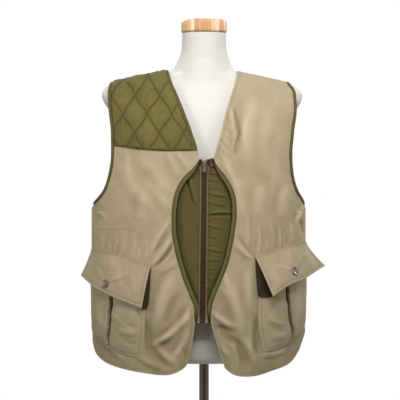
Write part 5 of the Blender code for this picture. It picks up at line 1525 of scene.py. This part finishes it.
# Under each flap hangs a thin sheet like a facing, sewn in at the root, whose dark brown colour is painted
# shadow: it shows as a dark strip past the flap's inner edge, where the gap under the flap lies in shade. It
# stands off the front more and more towards the flap, before the pocket's mouth.
SHADOW_SHEET_CLOTH = 0.0010
SHADOW_SHEET_COLUMNS = 14
# Columns: width of what shows, how far the edge under the flap stands off
SHADOW_SHEET_SIZES = {"right": (0.024, 0.0075), "left": (0.038, 0.0160)}
# Columns: share down, x of the inner edge, x of the edge under the flap, height
SHADOW_SHEETS = {
    "right": (
        (0.00, -0.1190, -0.1240, 0.9840),
        (0.30, -0.1200, -0.1310, 0.9580),
        (0.60, -0.1215, -0.1390, 0.9320),
        (0.85, -0.1238, -0.1430, 0.9080),
        (1.00, -0.1285, -0.1385, 0.8950),
    ),
    "left": (
        (0.00, 0.1140, 0.1240, 1.0050),
        (0.30, 0.1148, 0.1380, 0.9780),
        (0.60, 0.1166, 0.1500, 0.9520),
        (0.85, 0.1184, 0.1510, 0.9320),
        (1.00, 0.1225, 0.1450, 0.9210),
    ),
}
painted_shadow_cloth = woven(
    "painted_flap_shadow", (0.060, 0.040, 0.024), (0.016, 0.010, 0.006), thread=0.00055, rough=0.85,
    sheen=0.0, stitch=0.0, line=0.0, worn=0.0,
)
for side in ("right", "left"):
    surface, outward = fronts[side][:2]
    wide, stand_off = SHADOW_SHEET_SIZES[side]
    shares = np.linspace(0.0, 1.0, SHADOW_SHEET_COLUMNS)
    downs = np.linspace(0.0, 1.0, 40)
    inner, under, height = [read(SHADOW_SHEETS[side], k, downs) for k in (1, 2, 3)]
    points = np.zeros((len(downs), SHADOW_SHEET_COLUMNS, 3))
    ways = np.zeros(points.shape)
    for i in range(len(downs)):
        for j, share in enumerate(shares):
            col = col_at_x(surface, inner[i] + (under[i] - inner[i]) * share, height[i])
            line = heights_at(surface, col)
            row = np.array(np.interp(-height[i], -line[:, 2], np.arange(len(line))))
            points[i, j] = take(surface, row, np.array(col))
            ways[i, j] = take(outward, row, np.array(col))
    lift = 0.0016 + (0.0020 + stand_off * shares[None, :] ** 0.7) * np.sqrt(downs)[:, None]
    shape = points + ways * (lift + uneven(points, 0.014, 0.0008, 21.0))[..., None]
    # The sheet's colour is also painted deeper towards its edge under the flap, as painted shade.
    piece = cloth(
        "flap_facing_" + side, shape, grid_normals(shape, -1), SHADOW_SHEET_CLOTH, painted_shadow_cloth, None, None,
        {"rise": (np.linspace(-1.0, 1.0, SHADOW_SHEET_COLUMNS)[None, :] * -0.002) + 0 * lift},
    )
    "poplin_front_" + side

# The buttons: one on each flap, turned from mottled grey-brown resin with a raised rim and
# four holes, and sewn on with crossed thread.
BUTTON_RADIUS = 0.0098
BUTTON_THICK = 0.0032
HOLE_PLACE = 0.0019
HOLE_RADIUS = 0.00105
resin = Finish("mottled_button_resin")
place = resin.node("ShaderNodeTexCoord", out=3)
swirl = resin.node("ShaderNodeTexNoise", None, {
    "Vector": place, "Scale": 170.0, "Detail": 5.0, "Distortion": 1.6,
})
tone = resin.node("ShaderNodeValToRGB", {"stops": (
    (0.34, (0.075, 0.046, 0.028)), (0.66, (0.38, 0.29, 0.20)), (0.50, (0.20, 0.14, 0.092)),
)}, {0: swirl})
resin.surface(Base_Color=tone, Roughness=0.26 + swirl * 0.15, Coat_Weight=0.3)


def sewing_thread(name, deep, pale):
    """Twisted cotton thread."""
    thread = Finish(name)
    twist = thread.node("ShaderNodeTexNoise", None, {"Scale": 1800.0, "Detail": 2.0})
    return thread.surface(Base_Color=thread.mix(twist, deep, pale), Roughness=0.75)


tan_thread = sewing_thread("tan_sewing_thread", (0.30, 0.235, 0.145), (0.52, 0.43, 0.30))


def four_hole_button():
    """A button round the origin, facing +Z, with its four holes cut through."""
    rim = BUTTON_RADIUS
    thick = BUTTON_THICK
    profile = [
        (0.0, 0.0), (rim * 0.70, 0.0), (rim * 0.90, thick * 0.16), (rim, thick * 0.42),
        (rim * 0.995, thick * 0.66), (rim * 0.95, thick * 0.88), (rim * 0.88, thick),
        (rim * 0.80, thick * 0.96), (rim * 0.72, thick * 0.80), (rim * 0.64, thick * 0.66),
        (rim * 0.45, thick * 0.60), (0.0, thick * 0.60),
    ]
    points, faces = turned(profile, 48)
    disc = bpy.data.meshes.new("disc")
    disc.from_pydata(points, [], faces)
    drill = bmesh.new()
    for x, y in ((-1, -1), (1, -1), (1, 1), (-1, 1)):
        made = bmesh.ops.create_cone(
            drill, cap_ends=True, segments=16, radius1=HOLE_RADIUS, radius2=HOLE_RADIUS, depth=0.012,
        )["verts"]
        bmesh.ops.translate(drill, verts=made, vec=(x * HOLE_PLACE, y * HOLE_PLACE, 0.0))
    holes = bpy.data.meshes.new("holes")
    drill.to_mesh(holes)
    drill.free()
    button = bpy.data.objects.new("button_blank", disc)
    cutter = bpy.data.objects.new("button_drill", holes)
    for item in (button, cutter):
        bpy.context.collection.objects.link(item)
    cut = button.modifiers.new("holes", "BOOLEAN")
    cut.operation = "DIFFERENCE"
    cut.solver = "EXACT"
    cut.object = cutter
    shaped = bpy.data.meshes.new_from_object(button.evaluated_get(bpy.context.evaluated_depsgraph_get()))
    for item in (button, cutter):
        bpy.data.objects.remove(item)
    return shaped


button_mesh = four_hole_button()
for side in ("right", "left"):
    shape, outward = flaps[side]
    along, down = BUTTON_PLACES[side]
    row = np.array(down * (shape.shape[0] - 1))
    col = np.array(along * (shape.shape[1] - 1))
    way = Vector(take(outward, row, col)).normalized()
    middle = Vector(take(shape, row, col)) + way * (FLAP_CLOTH / 2 + OVERLAY_GAP)
    turn = way.to_track_quat("Z", "Y").to_matrix().to_4x4()
    placed = button_mesh.copy()
    points = np.array([tuple(middle + turn @ vert.co) for vert in placed.vertices])
    faces = [tuple(poly.vertices) for poly in placed.polygons]
    finished(
        "four_hole_button_" + side, points, faces, resin.material, "pocket_button_" + side, "horn_button", 35,
    )
    # Two crossed loops of thread run between the holes.
    points = []
    faces = []
    for dx, dy in ((1, 1), (1, -1)):
        first = len(points)
        for step in np.linspace(-1.0, 1.0, 13):
            rise = BUTTON_THICK * 0.60 + 0.00075 * math.cos(step * math.pi / 2) - 0.0010 * abs(step) ** 6
            for k in range(6):
                angle = 2 * math.pi * k / 6
                side_x = -dy * math.cos(angle) * 0.00042
                side_y = dx * math.cos(angle) * 0.00042
                local = Vector((
                    dx * HOLE_PLACE * step + side_x, dy * HOLE_PLACE * step + side_y,
                    rise + math.sin(angle) * 0.00035,
                ))
                points.append(tuple(middle + turn @ local))
        faces += bar_faces(first, 13, 6)
        faces.append(tuple(range(first + 5, first - 1, -1)))
        faces.append(tuple(range(first + 72, first + 78)))
    finished("button_thread_" + side, points, faces, tan_thread)

# The sewing: lockstitch in tan thread, 3 mm a stitch, beside every turned edge and seam, and
# olive thread along the bindings and in the quilting lines.
STITCH = 0.0030
HEM_INSET = 0.0066
NECK_INSET = 0.0060
FLAP_INSET = 0.0056
POCKET_INSET = 0.0022
ROOT_INSET = 0.0016
ARMHOLE_INSET = 0.0014
olive_thread = sewing_thread("olive_sewing_thread", (0.080, 0.066, 0.022), (0.17, 0.145, 0.055))


def outer_face(surface, outward, thickness):
    """The outer face of a cloth as a search tree."""
    rows, cols = surface.shape[:2]
    outer = (surface + outward * thickness / 2).reshape(-1, 3)
    return BVHTree.FromPolygons(outer.tolist(), grid_quads(rows, cols).tolist())


def stitches(name, runs, finish, radius=0.00032):
    """Rows of single stitches. A run is a search tree, a line of points and the way out."""
    points = []
    faces = []
    for tree, line, ways in runs:
        line = np.asarray(line)
        length = lengths_along(line)
        places = np.arange(STITCH / 2, length[-1], STITCH)
        centres = np.stack([np.interp(places, length, line[:, k]) for k in range(3)], -1)
        outs = np.stack([np.interp(places, length, np.asarray(ways)[:, k]) for k in range(3)], -1)
        tangents = np.gradient(centres, axis=0) if len(centres) > 1 else np.array([[0.0, 0.0, 1.0]])
        for centre, out, tangent in zip(centres, outs, tangents):
            hit = tree.find_nearest(Vector(centre), 0.012)
            if hit[0] is None:
                continue
            out = Vector(out).normalized()
            middle = hit[0] + out * radius * 0.35
            forward = Vector(tangent).normalized()
            beside = forward.cross(out).normalized()
            first = len(points)
            for reach, thick in ((-0.42, 0.25), (-0.25, 1.0), (0.25, 1.0), (0.42, 0.25)):
                along = middle + forward * STITCH * reach
                for a, b in ((1, 0), (0, 1), (-1, 0), (0, -1)):
                    points.append(tuple(along + beside * a * radius * thick + out * b * radius * thick))
            faces += bar_faces(first, 4, 4)
            faces.append((first + 3, first + 2, first + 1, first))
            faces.append(tuple(range(first + 12, first + 16)))
    return finished(name, points, faces, finish)


def seams(tree, lines):
    """Runs of stitches beside edges; a line is an edge, its ways out, points inside, the inset."""
    runs = []
    for line, ways, inside, distance in lines:
        runs.append((tree, line - away_from(line, ways, inside, False) * distance, ways))
    return runs


tan_runs = []
for side in ("right", "left"):
    surface, outward, base, normals = fronts[side]
    tree = outer_face(surface, outward, CLOTH)
    low = base[:, 0, 2] < HEM_CORNER_TOP - 0.005
    lines = [(surface[low, 0], outward[low, 0], surface[low, 3], HEM_INSET)]
    lines.append((surface[-1, 2:-2], outward[-1, 2:-2], surface[-5, 2:-2], HEM_INSET))
    if side == "left":
        high = base[:, 0, 2] > V_EDGE_FOOT + 0.004
        lines.append((surface[high, 0], outward[high, 0], surface[high, 3], HEM_INSET))
    arm = base[:, -1, 2] > ARMPIT + 0.002
    lines.append((surface[arm, -1], outward[arm, -1], surface[arm, -3], ARMHOLE_INSET))
    tan_runs += seams(tree, lines)

    shape = pockets[side]
    ways = grid_normals(shape, -1)
    lines = [(shape[:, 0], ways[:, 0], shape[:, 3], POCKET_INSET)]
    lines.append((shape[-1], ways[-1], shape[-4], POCKET_INSET))
    tan_runs += seams(outer_face(shape, ways, POCKET_CLOTH), lines)

    shape, ways = flaps[side]
    lines = [(shape[0], ways[0], shape[3], ROOT_INSET), (shape[0], ways[0], shape[3], HEM_INSET)]
    lines.append((shape[-1, 2:-2], ways[-1, 2:-2], shape[-4, 2:-2], FLAP_INSET))
    lines.append((shape[2:-2, 0], ways[2:-2, 0], shape[2:-2, 3], FLAP_INSET))
    lines.append((shape[2:-2, -1], ways[2:-2, -1], shape[2:-2, -4], FLAP_INSET))
    tan_runs += seams(outer_face(shape, ways, FLAP_CLOTH), lines)
surface, outward = back[:2]
lines = [(surface[-1, 2:-2], outward[-1, 2:-2], surface[-5, 2:-2], HEM_INSET)]
lines.append((surface[0][neck], outward[0][neck], surface[4][neck], NECK_INSET))
tan_runs += seams(outer_face(surface, outward, CLOTH), lines)
stitches("tan_lockstitch", tan_runs, tan_thread)

olive_runs = []
for strip, ways in tapes:
    tree = outer_face(strip, np.repeat(ways[:, None], strip.shape[1], axis=1), 0.0)
    olive_runs.append((tree, strip[:, 2], ways))
tree = outer_face(pad_middle, pad_ways, pad_thickness)
heights = np.arange(1.2500, 1.4350, 0.0015)
upward = (heights - CROSSING[1]) / DIAMOND[1]
for lean in (1, -1):
    for number in range(-8, 9):
        x = CROSSING[0] + (number - lean * upward) * DIAMOND[0]
        for _ in range(3):
            x = CROSSING[0] + (number - lean * (upward + line_bend(x, heights))) * DIAMOND[0]
        hits = [tree.ray_cast(Vector((a, -0.5, b)), Vector((0, 1, 0)))[0] for a, b in zip(x, heights)]
        line = [tuple(hit) for hit in hits if hit is not None][2:-2]
        if len(line) > 6:
            olive_runs.append((tree, line, [(0.0, -1.0, 0.0)] * len(line)))
stitches("olive_lockstitch", olive_runs, olive_thread)
